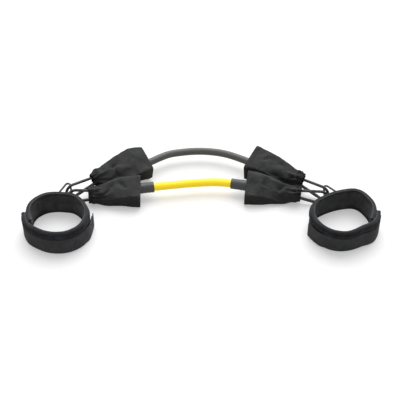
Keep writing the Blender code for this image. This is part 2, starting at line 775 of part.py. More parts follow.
# Each tube end: the collar's mouth and direction, how much of the collar shows before the sleeve,
# the hook's direction from its narrow to its wide end, how far along and above the wide bend's
# centre the ring lies, how far the sleeve covers the hook and bows out to the back, and the sleeve's
# sections from its mouth.
ENDS = {
    "light_left": {
        "mouth": (-0.0734, 0.0096, TUBE_HEIGHT), "collar_turn": (189.5, 0.0), "shows": 0.0250,
        "hook_turn": (190.0, 2.0), "ring_at": (0.0054, 0.0054), "covers": 0.0260, "bow": 0.0,
        "widths": (0.0530, 0.0460, 0.0370, 0.0240, 0.0106),
        "heights": (0.0360, 0.0340, 0.0320, 0.0315, 0.0310),
    },
    "light_right": {
        "mouth": (0.0497, 0.0185, TUBE_HEIGHT), "collar_turn": (-12.5, 0.0), "shows": 0.0250,
        "hook_turn": (-12.0, -2.0), "ring_at": (0.0054, 0.0054), "covers": 0.0150, "bow": 0.0,
        "widths": (0.0530, 0.0490, 0.0400, 0.0270, 0.0106),
        "heights": (0.0360, 0.0340, 0.0310, 0.0290, 0.0280),
    },
    "heavy_left": {
        "mouth": (-0.0967, 0.0638, 0.0200), "collar_turn": (211.5, 5.0), "shows": -0.0100,
        "hook_turn": (212.0, -8.0), "ring_at": (0.0030, 0.0068), "covers": 0.0130, "bow": 0.0040,
        "widths": (0.0540, 0.0490, 0.0400, 0.0310, 0.0106),
        "heights": (0.0360, 0.0350, 0.0320, 0.0280, 0.0250),
    },
    "heavy_right": {
        "mouth": (0.0905, 0.0683, 0.0200), "collar_turn": (-33.0, 4.0), "shows": -0.0100,
        "hook_turn": (-33.0, -8.0), "ring_at": (0.0030, 0.0068), "covers": 0.0170, "bow": 0.0020,
        "widths": (0.0520, 0.0480, 0.0400, 0.0270, 0.0106),
        "heights": (0.0380, 0.0360, 0.0330, 0.0295, 0.0280),
    },
}


def ring_frames(side):
    """The tab's frame on the cuff's wall, and the ring's, which is tipped about its base bar."""
    seat, outward = outline_spot(side["outline"], side["sign"], side["seat"])
    yaw = Matrix.Rotation(math.atan2(-outward.x, outward.y), 4, "Z")
    stand = Matrix.Translation((0, WALL_FACE + RING_STANDOFF, RING_LEVEL))
    frame = Matrix.Translation(seat) @ yaw @ stand
    return frame, frame @ Matrix.Rotation(math.radians(side["ring_tilt"]), 4, "X")


def build_end(name, diameter, threaded):
    """One tube end, from the point of the ring leg that its hook threads back to its tube."""
    end = ENDS[name]
    turn = link_matrix(Vector((0, 0, 0)), *end["hook_turn"])
    ahead, above = end["ring_at"]
    wide = threaded - turn @ Vector((ahead, 0, above))
    narrow = wide - turn @ Vector((HOOK_LENGTH, 0, 0))
    hook = Matrix.Translation(narrow) @ turn
    frame = link_matrix(Vector(end["mouth"]), *end["collar_turn"])
    collar(name + "_collar", diameter, frame)
    plug(name + "_plug", frame)
    eye = frame @ Vector((COLLAR_LENGTH + EYE_SETBACK, 0, 0))
    cord_loop(name + "_loop", eye, narrow)
    hook_body(name + "_hook", hook)
    gate(name + "_gate", hook)
    gate_pin(name + "_gate_pin", hook)
    gate_spring(name + "_gate_spring", hook)
    mouth = frame @ Vector((end["shows"], 0, 0))
    mouth.z = end["heights"][0] / 2 + GAP
    bow = Vector((0, end["bow"], 0))
    path = [mouth, eye.lerp(mouth, 0.3) + bow, narrow + bow / 2, hook @ Vector((end["covers"], 0, 0))]
    sleeve(name + "_sleeve", path, end["widths"], end["heights"], SLEEVE_SQUARENESS)
    return frame, hook


# Tubes. Between the two collars each follows a smooth route through these points.

LIGHT_ROUTE = [(-0.0450, 0.0142), (-0.0120, 0.0190), (0.0210, 0.0215)]
HEAVY_ROUTE = [(-0.0560, 0.0925), (-0.0300, 0.1005), (-0.0030, 0.1035), (0.0240, 0.1010), (0.0500, 0.0925)]


def tube(name, diameter, left, right, route, material_name):
    seat = COLLAR_LENGTH - LIP_LENGTH - GAP - HEAD_LENGTH - GAP
    lead = diameter * 0.6
    levels = ((left @ Vector((-lead, 0, 0))).z, (right @ Vector((-lead, 0, 0))).z)
    middle = []
    for i, (x, y) in enumerate(route):
        share = (i + 1) / (len(route) + 1)
        middle.append(Vector((x, y, levels[0] + (levels[1] - levels[0]) * share)))
    bowed = catmull_rom([left @ Vector((-lead, 0, 0))] + middle + [right @ Vector((-lead, 0, 0))], 18)
    points = ([left @ Vector((seat - (seat + lead) * i / 3, 0, 0)) for i in range(3)] + bowed
              + [right @ Vector((seat - (seat + lead) * i / 3, 0, 0)) for i in (2, 1, 0)])
    obj = finished_mesh(place(name, poly_curve(name, points, diameter / 2, 3), material_name))
    longer = [points[0] * 2 - points[1]] + points + [points[-1] * 2 - points[-2]]
    core = as_mesh(cutter(name + "_core", poly_curve(name + "_core", longer, TUBE_BORE / 2, 2)))
    boolean(obj, core)
    return obj


def stand_on_origin(cords):
    """Moves the root so that the trainer without its cords stands centred on the origin."""
    bpy.context.view_layer.update()
    depsgraph = bpy.context.evaluated_depsgraph_get()
    corners = []
    for obj in PARTS.objects:
        if obj.type == "MESH" and obj.name not in cords:
            shown = obj.evaluated_get(depsgraph)
            corners += [shown.matrix_world @ v.co for v in shown.data.vertices]
    low = [min(c[i] for c in corners) for i in range(3)]
    high = [max(c[i] for c in corners) for i in range(3)]
    ROOT.location = (-(low[0] + high[0]) / 2, -(low[1] + high[1]) / 2, -low[2])
    bpy.context.view_layer.update()


collar_frames = {}
hook_frames = {}
ring_places = {}
tail_hinges = {}
DIAMETERS = {"light": TUBE_DIAMETER, "heavy": HEAVY_TUBE_DIAMETER}
for side_name, side in SIDES.items():
    cuff(side_name, side["sign"], side["outline"])
    tail_hinges[side_name] = strap(side_name, side["sign"], side["outline"], side["strap"],
                                   side["lift"])
    tab_frame, ring_frame = ring_frames(side)
    ring_places[side_name] = ring_frame
    ring_tab(side_name + "_ring_tab", tab_frame)
    ring(side_name + "_ring", ring_frame)
    for kind, fraction in side["legs"].items():
        name = kind + "_" + side_name
        threaded = leg_point(ring_frame, side["sign"], fraction)
        collar_frames[name], hook_frames[name] = build_end(name, DIAMETERS[kind], threaded)
tube("light_tube", TUBE_DIAMETER, collar_frames["light_left"], collar_frames["light_right"], LIGHT_ROUTE,
     "tube_light")
tube("heavy_tube", HEAVY_TUBE_DIAMETER, collar_frames["heavy_left"], collar_frames["heavy_right"],
     HEAVY_ROUTE, "tube_heavy")
stand_on_origin(("light_tube", "heavy_tube"))
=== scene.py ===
"""The looks of the lateral resistance trainer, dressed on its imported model."""
import math

import bmesh
import bpy
import numpy as np
from mathutils import Matrix, Vector, noise
from mathutils.bvhtree import BVHTree


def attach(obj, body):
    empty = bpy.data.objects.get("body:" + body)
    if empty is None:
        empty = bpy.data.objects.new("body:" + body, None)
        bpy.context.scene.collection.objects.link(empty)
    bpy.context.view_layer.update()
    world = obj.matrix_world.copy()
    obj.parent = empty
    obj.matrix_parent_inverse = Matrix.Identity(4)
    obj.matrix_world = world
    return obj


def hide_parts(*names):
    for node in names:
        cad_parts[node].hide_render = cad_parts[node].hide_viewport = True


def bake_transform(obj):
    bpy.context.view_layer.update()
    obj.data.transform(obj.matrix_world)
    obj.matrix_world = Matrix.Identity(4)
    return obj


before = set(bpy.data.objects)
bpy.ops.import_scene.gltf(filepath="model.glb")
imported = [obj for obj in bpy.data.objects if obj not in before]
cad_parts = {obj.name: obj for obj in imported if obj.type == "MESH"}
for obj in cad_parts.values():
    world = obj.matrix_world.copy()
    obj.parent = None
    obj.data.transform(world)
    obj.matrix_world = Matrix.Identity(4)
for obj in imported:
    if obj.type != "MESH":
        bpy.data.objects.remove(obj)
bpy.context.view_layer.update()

# Studio. A pale floor lies under soft light from above and behind, so that shadows fall towards
# the camera and faces turned to it are the darker ones. The camera stands 1.5 m away, 40 degrees
# up, and aims at a point of the floor that the places below are measured from.

FLOOR_CENTRE = Vector((-0.0016, 0.01419, 0.0))
CAMERA_DISTANCE = 1.511
CAMERA_DROP = math.radians(40)
LENS, SENSOR = 85, 36
SKY_LOW, SKY_HIGH = 0.05, 0.62
SUN_LEVEL = 2.50
SUN_SPREAD = math.radians(62)
SUN_TURN = (math.radians(-34), math.radians(5), 0)
WHITE = (1, 1, 1, 1)
FLOOR_WHITE = 0.72
FLOOR_BOUNCE = 0.36
FLOOR_LIFT = 0.36
FLOOR_REACH = 6
FLOOR_DROP = 0.0002

scene = bpy.context.scene
scene.view_settings.view_transform = "Standard"
camera = bpy.data.objects.new("camera", bpy.data.cameras.new("camera"))
camera.data.lens = LENS
camera.data.sensor_width = SENSOR
camera_way = Vector((0, -math.cos(CAMERA_DROP), math.sin(CAMERA_DROP)))
camera.location = FLOOR_CENTRE + CAMERA_DISTANCE * camera_way
camera.rotation_euler = (math.pi / 2 - CAMERA_DROP, 0, 0)
scene.collection.objects.link(camera)
scene.camera = camera

sun = bpy.data.objects.new("overhead", bpy.data.lights.new("overhead", "SUN"))
sun.data.energy = SUN_LEVEL
sun.data.angle = SUN_SPREAD
sun.rotation_euler = SUN_TURN
scene.collection.objects.link(sun)


def put(tree, kind, settings=None, **inputs):
    """Adds a node. An input is a value or another node's output, named i0, i1 or by its words."""
    node = tree.nodes.new(kind)
    for key, value in (settings or {}).items():
        setattr(node, key, value)
    for key, value in inputs.items():
        spot = int(key[1:]) if key[0] == "i" and key[1:].isdigit() else key.replace("_", " ")
        if isinstance(value, bpy.types.NodeSocket):
            tree.links.new(value, node.inputs[spot])
        else:
            node.inputs[spot].default_value = value
    return node


def maths(tree, operation, a, b=0.0, c=0.0, clamp=False):
    """A Math node's output."""
    settings = {"operation": operation, "use_clamp": clamp}
    return put(tree, "ShaderNodeMath", settings, i0=a, i1=b, i2=c).outputs[0]


def scaled(tree, value, share):
    """A value times a share."""
    return maths(tree, "MULTIPLY", value, share)


def empty_material(name):
    """A material without nodes, and its tree."""
    made = bpy.data.materials.new(name)
    made.use_nodes = True
    made.node_tree.nodes.clear()
    return made, made.node_tree


def backdrop_rays(tree):
    """1 for the rays that show the background: what the camera, metal and glass see."""
    path = put(tree, "ShaderNodeLightPath")
    seen = maths(tree, "ADD", path.outputs["Is Camera Ray"], path.outputs["Is Glossy Ray"])
    return maths(tree, "ADD", seen, path.outputs["Is Transmission Ray"], clamp=True)


world = bpy.data.worlds.new("studio")
scene.world = world
world.use_nodes = True
world.node_tree.nodes.clear()
height = put(world.node_tree, "ShaderNodeSeparateXYZ",
             Vector=put(world.node_tree, "ShaderNodeTexCoord").outputs["Generated"]).outputs["Z"]
level = put(world.node_tree, "ShaderNodeMapRange", {"clamp": True}, Value=height,
            To_Min=SKY_LOW, To_Max=SKY_HIGH)
sky = put(world.node_tree, "ShaderNodeBackground", Color=WHITE, Strength=level.outputs["Result"])
backdrop = put(world.node_tree, "ShaderNodeBackground", Color=WHITE, Strength=1.0)
shown = put(world.node_tree, "ShaderNodeMixShader", i0=backdrop_rays(world.node_tree),
            i1=sky.outputs[0], i2=backdrop.outputs[0])
put(world.node_tree, "ShaderNodeOutputWorld", Surface=shown.outputs[0])

floor_material, tree = empty_material("studio_floor")
seen_floor = put(tree, "ShaderNodeMix", {"data_type": "RGBA"}, i0=backdrop_rays(tree),
                 i6=(FLOOR_BOUNCE, FLOOR_BOUNCE, FLOOR_BOUNCE, 1),
                 i7=(FLOOR_WHITE, FLOOR_WHITE, FLOOR_WHITE, 1))
paint = put(tree, "ShaderNodeBsdfDiffuse", Color=seen_floor.outputs[2])
lift = put(tree, "ShaderNodeEmission", Color=WHITE,
           Strength=scaled(tree, backdrop_rays(tree), FLOOR_LIFT))
both = put(tree, "ShaderNodeAddShader", i0=paint.outputs[0], i1=lift.outputs[0])
put(tree, "ShaderNodeOutputMaterial", Surface=both.outputs[0])
floor_mesh = bpy.data.meshes.new("floor")
floor_mesh.from_pydata([(x * FLOOR_REACH, y * FLOOR_REACH, -FLOOR_DROP)
                        for x, y in ((-1, -1), (1, -1), (1, 1), (-1, 1))], [], [(0, 1, 2, 3)])
floor = bpy.data.objects.new("floor", floor_mesh)
floor_mesh.materials.append(floor_material)
scene.collection.objects.link(floor)

# Elastic tubes. Each is an extruded latex tube, pushed over a plug's stem at both ends and gripped
# by a collar there. Between the collars it keeps the bow that it was coiled with.

TUBE_DIAMETER = 0.0130
HEAVY_TUBE_DIAMETER = 0.0120
COLLAR_LENGTH = 0.0420
TUBE_SEAT = 0.0324
TUBE_SIDES = 40
TUBE_STATIONS = 150
BOW_STATIONS = 60
CURVE_STEPS = 16
GRIP_STEPS = 6
LEAD_SHARE = 0.6
SWELL = 0.00010
SWELL_RATE = 26
LOBES, LOBE_RISE, LOBE_WIND = 3, 0.00004, 0.11
COLLAR_MOUTHS = {
    "light_left": ((-0.0734, 0.0096, 0.0190), 189.5, 0.0),
    "light_right": ((0.0497, 0.0185, 0.0190), -12.5, 0.0),
    "heavy_left": ((-0.0967, 0.0638, 0.0200), 211.5, 5.0),
    "heavy_right": ((0.0905, 0.0683, 0.0200), -33.0, 4.0),
}
TUBE_ROUTES = {
    "light": (TUBE_DIAMETER, [(-0.0450, 0.0142), (-0.0120, 0.0190), (0.0210, 0.0215)]),
    "heavy": (HEAVY_TUBE_DIAMETER, [(-0.0560, 0.0925), (-0.0300, 0.1005), (-0.0030, 0.1035),
                                    (0.0240, 0.1010), (0.0500, 0.0925)]),
}
TUBE_COLOURS = {"light": (0.92, 0.73, 0.012), "heavy": (0.095, 0.096, 0.099)}
TUBE_GLOW = {"light": 0.40, "heavy": 0.0}
TUBE_SHINE_THROUGH = {"light": 0.55, "heavy": 0.0}
DIE_LINES_ACROSS, DIE_LINES_ALONG = 900.0, 9.0


def link_matrix(origin, yaw, pitch=0.0):
    """A frame with X along yaw and pitch, in degrees, and Z as upright as it can be."""
    turn = Matrix.Rotation(math.radians(yaw), 4, "Z")
    return Matrix.Translation(origin) @ (turn @ Matrix.Rotation(-math.radians(pitch), 4, "Y"))


def spread(columns, samples):
    """Rows of numbers, of which the first three are a point, read again at even distances."""
    columns = np.asarray(columns, float)
    steps = np.linalg.norm(np.diff(columns[:, :3], axis=0), axis=1)
    reach = np.concatenate([[0.0], np.cumsum(steps)])
    goals = np.linspace(0.0, reach[-1], samples)
    return np.stack([np.interp(goals, reach, column) for column in columns.T], axis=1)


def curved(a, b, c, d, t):
    """The place at t, from 0 to 1, on the smooth curve from b to c, with a before and d after."""
    return 0.5 * ((2 * b) + (c - a) * t + (2 * a - 5 * b + 4 * c - d) * t * t
                  + (3 * b - a - 3 * c + d) * t ** 3)


def bowed_line(points, samples):
    """Points on a smooth curve through the given ones, evenly spaced along it."""
    last = len(points) - 1
    fine = []
    for i in range(last):
        near = [points[min(max(i + k, 0), last)] for k in (-1, 0, 1, 2)]
        fine += [curved(*near, step / CURVE_STEPS) for step in range(CURVE_STEPS)]
    fine.append(points[-1])
    return spread([tuple(p) for p in fine], samples)


def cross_frames(path, reference, closed=False):
    """At each point of a path, the direction along it, and two across it."""
    path = np.asarray(path, float)
    if closed:
        along = np.roll(path, -1, axis=0) - np.roll(path, 1, axis=0)
    else:
        along = np.gradient(path, axis=0)
    along /= np.linalg.norm(along, axis=1)[:, None]
    side = np.cross(np.asarray(reference, float), along)
    side /= np.linalg.norm(side, axis=1)[:, None]
    return along, side, np.cross(along, side)


def round_rows(path, radius, sides, reference=(0, 0, 1), closed=False):
    """Rings of points round a path. Radius is a number or a function of station and angles."""
    along, side, up = cross_frames(path, reference, closed)
    angles = np.arange(sides) * 2 * math.pi / sides
    rows = []
    for i, point in enumerate(np.asarray(path, float)):
        reach = radius(i, angles) if callable(radius) else np.full(sides, radius)
        rows.append(point + (reach * np.cos(angles))[:, None] * side[i]
                    + (reach * np.sin(angles))[:, None] * up[i])
    return np.array(rows)


def surface(name, rows, wrap=True, ring=False, caps=False):
    """A mesh over rows of points, with a UV map in metres: across the rows, and along them."""
    rows = np.asarray(rows, float)
    count, width = rows.shape[:2]
    span = width if wrap else width - 1
    run = count if ring else count - 1
    faces = []
    spots = []
    around = np.diff(np.concatenate([rows, rows[:, :1]], axis=1), axis=1)
    across = np.linalg.norm(around, axis=2).max(axis=0)
    across = np.concatenate([[0.0], np.cumsum(across)])
    middles = rows.mean(axis=1)
    along = np.linalg.norm(np.diff(np.concatenate([middles, middles[:1]]), axis=0), axis=1)
    along = np.concatenate([[0.0], np.cumsum(along)])
    for i in range(run):
        below = i * width
        above = (i + 1) % count * width
        for j in range(span):
            k = (j + 1) % width
            faces.append((below + j, below + k, above + k, above + j))
            spots += [(across[j], along[i]), (across[j + 1], along[i]),
                      (across[j + 1], along[i + 1]), (across[j], along[i + 1])]
    if caps:
        for i in (0, count - 1):
            faces.append(tuple(range(i * width, (i + 1) * width)))
            spots += [(across[j], along[i]) for j in range(width)]
    mesh = bpy.data.meshes.new(name)
    mesh.from_pydata(rows.reshape(-1, 3).tolist(), [], faces)
    layer = mesh.uv_layers.new(name="UVMap")
    layer.data.foreach_set("uv", np.array(spots).ravel())
    work = bmesh.new()
    work.from_mesh(mesh)
    bmesh.ops.recalc_face_normals(work, faces=work.faces)
    work.to_mesh(mesh)
    work.free()
    return shown_object(name, mesh)


def shown_object(name, mesh):
    """A smooth-shaded object at the origin."""
    obj = bpy.data.objects.new(name, mesh)
    scene.collection.objects.link(obj)
    mesh.shade_smooth()
    return obj


def dress(obj, material, body, slot, *nodes):
    """Gives a piece its finish and its body, and hides the CAD nodes that it stands for. Slot is
    not used.
    """
    obj.data.materials.clear()
    obj.data.materials.append(material)
    if body:
        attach(obj, body)
    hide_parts(*nodes)
    return obj


def node_group(name, inputs, outputs):
    """A shader node group with named sockets; returns it with its two ends."""
    kinds = {"f": "NodeSocketFloat", "c": "NodeSocketColor", "v": "NodeSocketVector"}
    group = bpy.data.node_groups.new(name, "ShaderNodeTree")
    for way, wanted in (("INPUT", inputs), ("OUTPUT", outputs)):
        for label, kind in wanted:
            group.interface.new_socket(name=label, in_out=way, socket_type=kinds[kind])
    return group, put(group, "NodeGroupInput"), put(group, "NodeGroupOutput")


def noise_value(tree, vector, scale, detail=3.0, roughness=0.55):
    """A Noise Texture's value."""
    return put(tree, "ShaderNodeTexNoise", Vector=vector, Scale=scale, Detail=detail,
               Roughness=roughness).outputs["Fac"]


def mapped(tree, value, low, high, new_low, new_high):
    """A value moved from one range to another and held there."""
    made = put(tree, "ShaderNodeMapRange", {"clamp": True}, Value=value,
               From_Min=low, From_Max=high, To_Min=new_low, To_Max=new_high)
    return made.outputs["Result"]


def mixed(tree, share, a, b):
    """A colour between a and b."""
    return put(tree, "ShaderNodeMix", {"data_type": "RGBA"}, i0=share, i6=a, i7=b).outputs[2]


def uneven(tree, mask, share, base):
    """A base value raised by a share of a mask."""
    return maths(tree, "ADD", scaled(tree, mask, share), base)


def tinted(base, by=1.0, plus=0.0):
    """A colour with its levels scaled and raised, and an alpha of 1."""
    return (*[min(1.0, c * by + plus) for c in base], 1)


# Dust and handling: a coarse mask for marks and a fine one for specks.
SPECK_SCALE = 14.0
soiling, ends_in, ends_out = node_group("soiling", [("Vector", "v"), ("Scale", "f")],
                                        [("Marks", "f"), ("Specks", "f")])
coarse = noise_value(soiling, ends_in.outputs["Vector"], ends_in.outputs["Scale"], 5.0, 0.62)
fine = noise_value(soiling, ends_in.outputs["Vector"],
                   scaled(soiling, ends_in.outputs["Scale"], SPECK_SCALE), 2.0, 0.6)
soiling.links.new(mapped(soiling, coarse, 0.38, 0.66, 0.0, 1.0), ends_out.inputs["Marks"])
soiling.links.new(mapped(soiling, fine, 0.60, 0.74, 0.0, 1.0), ends_out.inputs["Specks"])


def soiled(tree, vector, scale):
    """The marks and specks of the soiling group."""
    node = put(tree, "ShaderNodeGroup", {"node_tree": soiling}, Vector=vector, Scale=scale)
    return node.outputs["Marks"], node.outputs["Specks"]


def finish(name, build, **sockets):
    """A material: build adds its detail and returns colour, roughness, height, depth and bite."""
    made, tree = empty_material(name)
    shader = put(tree, "ShaderNodeBsdfPrincipled")
    colour, roughness, height, depth, bite = build(tree)
    for key, value in sockets.items():
        shader.inputs[key.replace("_", " ")].default_value = value
    tree.links.new(colour, shader.inputs["Base Color"])
    tree.links.new(roughness, shader.inputs["Roughness"])
    bump = put(tree, "ShaderNodeBump", Strength=bite, Distance=depth, Height=height)
    tree.links.new(bump.outputs[0], shader.inputs["Normal"])
    put(tree, "ShaderNodeOutputMaterial", Surface=shader.outputs[0])
    return made


def latex(kind):
    """Extruded latex: faint die lines along it, a bloom of powder, small specks."""
    base = TUBE_COLOURS[kind]

    def build(tree):
        uv = put(tree, "ShaderNodeTexCoord").outputs["UV"]
        body = put(tree, "ShaderNodeTexCoord").outputs["Object"]
        parts = put(tree, "ShaderNodeSeparateXYZ", Vector=uv)
        stretched = put(tree, "ShaderNodeCombineXYZ",
                        X=scaled(tree, parts.outputs["X"], DIE_LINES_ACROSS),
                        Y=scaled(tree, parts.outputs["Y"], DIE_LINES_ALONG))
        lines = noise_value(tree, stretched.outputs[0], 1.0, 2.0)
        marks, specks = soiled(tree, body, 70.0)
        powder = mixed(tree, scaled(tree, marks, 0.30), tinted(base), tinted(base, 0.86, 0.05))
        colour = mixed(tree, scaled(tree, specks, 0.35), powder, tinted(base, 0.6))
        roughness = uneven(tree, marks, 0.14, 0.34)
        height = maths(tree, "ADD", lines, scaled(tree, specks, 0.6))
        return colour, roughness, height, 0.00012, 0.55

    # The weak glow stands in for light that scatters far inside the latex.
    return finish(kind + "_latex", build, Specular_IOR_Level=0.45,
                  Subsurface_Weight=TUBE_SHINE_THROUGH[kind],
                  Subsurface_Radius=(0.011, 0.008, 0.002), Subsurface_Scale=1.0,
                  Emission_Color=(1.0, 0.71, 0.010, 1.0), Emission_Strength=TUBE_GLOW[kind])


def in_row(point):
    """A point measured from the camera's aim on the floor."""
    return Vector((point[0], point[1], point[2] if len(point) > 2 else 0.0)) + FLOOR_CENTRE


collar_frames = {}
for end, (mouth, yaw, pitch) in COLLAR_MOUTHS.items():
    collar_frames[end] = link_matrix(in_row(mouth), yaw, pitch)


def tube_line(left, right, diameter, route):
    """The tube's centre-line from its seat in one collar to its seat in the other."""
    lead = diameter * LEAD_SHARE
    starts = [left @ Vector((-lead, 0, 0)), right @ Vector((-lead, 0, 0))]
    middle = []
    for i, (x, y) in enumerate(route):
        spot = in_row((x, y))
        spot.z = starts[0].z + (starts[1].z - starts[0].z) * (i + 1) / (len(route) + 1)
        middle.append(spot)
    bow = bowed_line([starts[0]] + middle + [starts[1]], BOW_STATIONS)
    steps = [TUBE_SEAT - (TUBE_SEAT + lead) * i / GRIP_STEPS for i in range(GRIP_STEPS)]
    held, gripped = ([tuple(matrix @ Vector((step, 0, 0))) for step in steps]
                     for matrix in (left, right))
    return spread(held + [tuple(p) for p in bow] + gripped[::-1], TUBE_STATIONS)


for kind, (diameter, route) in TUBE_ROUTES.items():
    left, right = collar_frames[kind + "_left"], collar_frames[kind + "_right"]
    line = tube_line(left, right, diameter, route)

    def wall(station, angles, radius=diameter / 2, line=line):
        """Latex is never quite even: long shallow swells, and three faint lobes that wind round."""
        place = line[station]
        swell = noise.noise(Vector((place[0] * SWELL_RATE, place[1] * SWELL_RATE, 3.7))) * SWELL
        return radius + swell + LOBE_RISE * np.sin(angles * LOBES + station * LOBE_WIND)

    tube = surface(kind + "_tube_latex", round_rows(line, wall, TUBE_SIDES), caps=True)
    dress(tube, latex(kind), None, "tube_" + kind, kind + "_tube")
    length = float(np.linalg.norm(np.diff(line, axis=0), axis=1).sum())
    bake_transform(tube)

# Collars. A moulded rubber sleeve grips each tube end against its plug. It has a rolled mouth, four
# shallow grip rings, a swell where the plug's head sits, and a mould line down each side.

COLLAR_RADIUS = 0.0087
COLLAR_BORE = 0.0068
NECK_RADIUS = 0.0045
LIP_LENGTH = 0.0030
COLLAR_SIDES = 72
GRIP_PLACES = (0.0052, 0.0084, 0.0116, 0.0148)
GRIP_DEPTH, GRIP_SPREAD = 0.00042, 0.00055
HEAD_SWELL, HEAD_PLACE, HEAD_SPREAD = 0.00022, 0.0355, 0.0042
MOUTH_ROUND, MOUTH_DEPTH = 0.0011, 0.0013
THROAT_ROUND, MOUTH_EASE, BORE_SLACK = 0.0009, 0.0006, 0.00002
LIP_ROUND, LIP_DEPTH, LIP_SETBACK = 0.0012, 0.0014, 0.0016
NECK_EASE = 0.0005
MOULD_RIDGE, MOULD_TURN, MOULD_SPREAD = 0.00012, 0.5, 0.045
DUST = (0.30, 0.30, 0.31, 1)


def rubber(name, base, gloss):
    """Moulded rubber or nylon: fine sparked grain, rubbed lighter in places."""
    def build(tree):
        body = put(tree, "ShaderNodeTexCoord").outputs["Object"]
        marks, specks = soiled(tree, body, 95.0)
        grain = noise_value(tree, body, 5200.0, 1.0)
        colour = mixed(tree, scaled(tree, marks, 0.45), tinted(base), tinted(base, 1.45, 0.012))
        colour = mixed(tree, scaled(tree, specks, 0.18), colour, DUST)
        roughness = uneven(tree, marks, 0.16, gloss)
        return colour, roughness, grain, 0.00005, 0.45

    return finish(name, build, Specular_IOR_Level=0.5)


def turned(name, profile, sides, matrix, ripple=None, solid=False):
    """A shape turned about X from (x, radius) pairs: a closed section, or a solid's profile."""
    along, side, up = (matrix.to_3x3() @ Vector(v) for v in ((1, 0, 0), (0, 1, 0), (0, 0, 1)))
    start = matrix.translation
    rows = []
    for k in range(sides):
        angle = 2 * math.pi * k / sides
        spoke = side * math.cos(angle) + up * math.sin(angle)
        rows.append([start + along * x
                     + spoke * (radius + (ripple(x, radius, angle) if ripple else 0.0))
                     for x, radius in profile])
    obj = surface(name, rows, wrap=not solid, ring=True)
    if solid:
        work = bmesh.new()
        work.from_mesh(obj.data)
        bmesh.ops.remove_doubles(work, verts=work.verts, dist=1e-6)
        bmesh.ops.recalc_face_normals(work, faces=work.faces)
        work.to_mesh(obj.data)
        work.free()
    return obj


def groove(x):
    """The outer wall's depth at x: grip rings, and the swell over the plug's head."""
    rings = sum(GRIP_DEPTH * math.exp(-((x - place) / GRIP_SPREAD) ** 2) for place in GRIP_PLACES)
    swell = HEAD_SWELL * math.exp(-((x - HEAD_PLACE) / HEAD_SPREAD) ** 2)
    return swell - rings


outside = [(x, COLLAR_RADIUS - HEAD_SWELL + groove(x))
           for x in np.linspace(2 * MOUTH_ROUND, COLLAR_LENGTH - LIP_SETBACK, 90)]
mouth_roll = [(MOUTH_ROUND - MOUTH_ROUND * math.cos(a),
               COLLAR_RADIUS - MOUTH_DEPTH + MOUTH_ROUND * math.sin(a))
              for a in np.linspace(0.0, math.pi / 2, 8)]
mouth_in = [(THROAT_ROUND - THROAT_ROUND * math.sin(a),
             COLLAR_BORE + MOUTH_EASE - MOUTH_EASE * math.cos(a) + BORE_SLACK)
            for a in np.linspace(0.0, math.pi / 2, 5)]
lip_roll = [(COLLAR_LENGTH - LIP_ROUND + LIP_ROUND * math.sin(a),
             COLLAR_RADIUS - LIP_DEPTH + LIP_ROUND * math.cos(a))
            for a in np.linspace(0.0, math.pi / 2, 8)]
inside = [(COLLAR_LENGTH, NECK_RADIUS + NECK_EASE), (COLLAR_LENGTH - NECK_EASE, NECK_RADIUS),
          (COLLAR_LENGTH - LIP_LENGTH, NECK_RADIUS), (COLLAR_LENGTH - LIP_LENGTH, COLLAR_BORE)]
collar_profile = mouth_in + mouth_roll + outside + lip_roll + inside


def mould_line(x, radius, angle):
    """A thin ridge down both sides, where the two halves of the mould met."""
    if radius < COLLAR_RADIUS - LIP_ROUND:
        return 0.0
    return MOULD_RIDGE * math.exp(-(math.sin(angle - MOULD_TURN) / MOULD_SPREAD) ** 2)


collar_rubber = rubber("collar_rubber", (0.047, 0.049, 0.054), 0.30)
plug_nylon = rubber("plug_nylon", (0.026, 0.027, 0.030), 0.42)
for end, matrix in collar_frames.items():
    shell = turned(end + "_collar_shell", collar_profile, COLLAR_SIDES, matrix, mould_line)
    dress(shell, collar_rubber, end.split("_")[1] + "_tube_ends", "collar", end + "_collar")
    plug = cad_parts[end + "_plug"]
    plug.data.materials.clear()
    plug.data.materials.append(plug_nylon)

# Cord loops. A short length of braided cord, its ends fused inside the braid, joins each plug's eye
# to the narrow bend of its hook.

EYE_SETBACK = 0.0080
EYE_SLACK = 0.0002
BEND_SLACK = 0.0006
LOOP_CORD = 0.0030
LOOP_WIDTH = 0.0110
BRAID_PITCH = 0.0062
BRAID_RELIEF = 0.00022
BRAID_SIDES = 32
LOOP_STATIONS = 96
HOOK_LENGTH = 0.0460
RING_BASE = 0.0300
RING_HEIGHT = 0.0360
LEG_PLACES = {"light_left": 0.70, "light_right": 0.74, "heavy_left": 0.42, "heavy_right": 0.42}
RING_TILT = {"left": 15.0, "right": 2.0}
HOOK_TURNS = {"light_left": (190.0, 2.0), "light_right": (-12.0, -2.0), "heavy_left": (212.0, -8.0),
              "heavy_right": (-33.0, -8.0)}
RING_SEATS = {"light_left": (0.0054, 0.0054), "light_right": (0.0054, 0.0054),
              "heavy_left": (0.0030, 0.0068), "heavy_right": (0.0030, 0.0068)}
RING_LEVEL = 0.0215
RING_WIRE = 0.0032
TAB_WEBBING = 0.0012
GAP = 0.0003
WALL_FACE = 0.0031
SIGNS = {"left": -1, "right": 1}
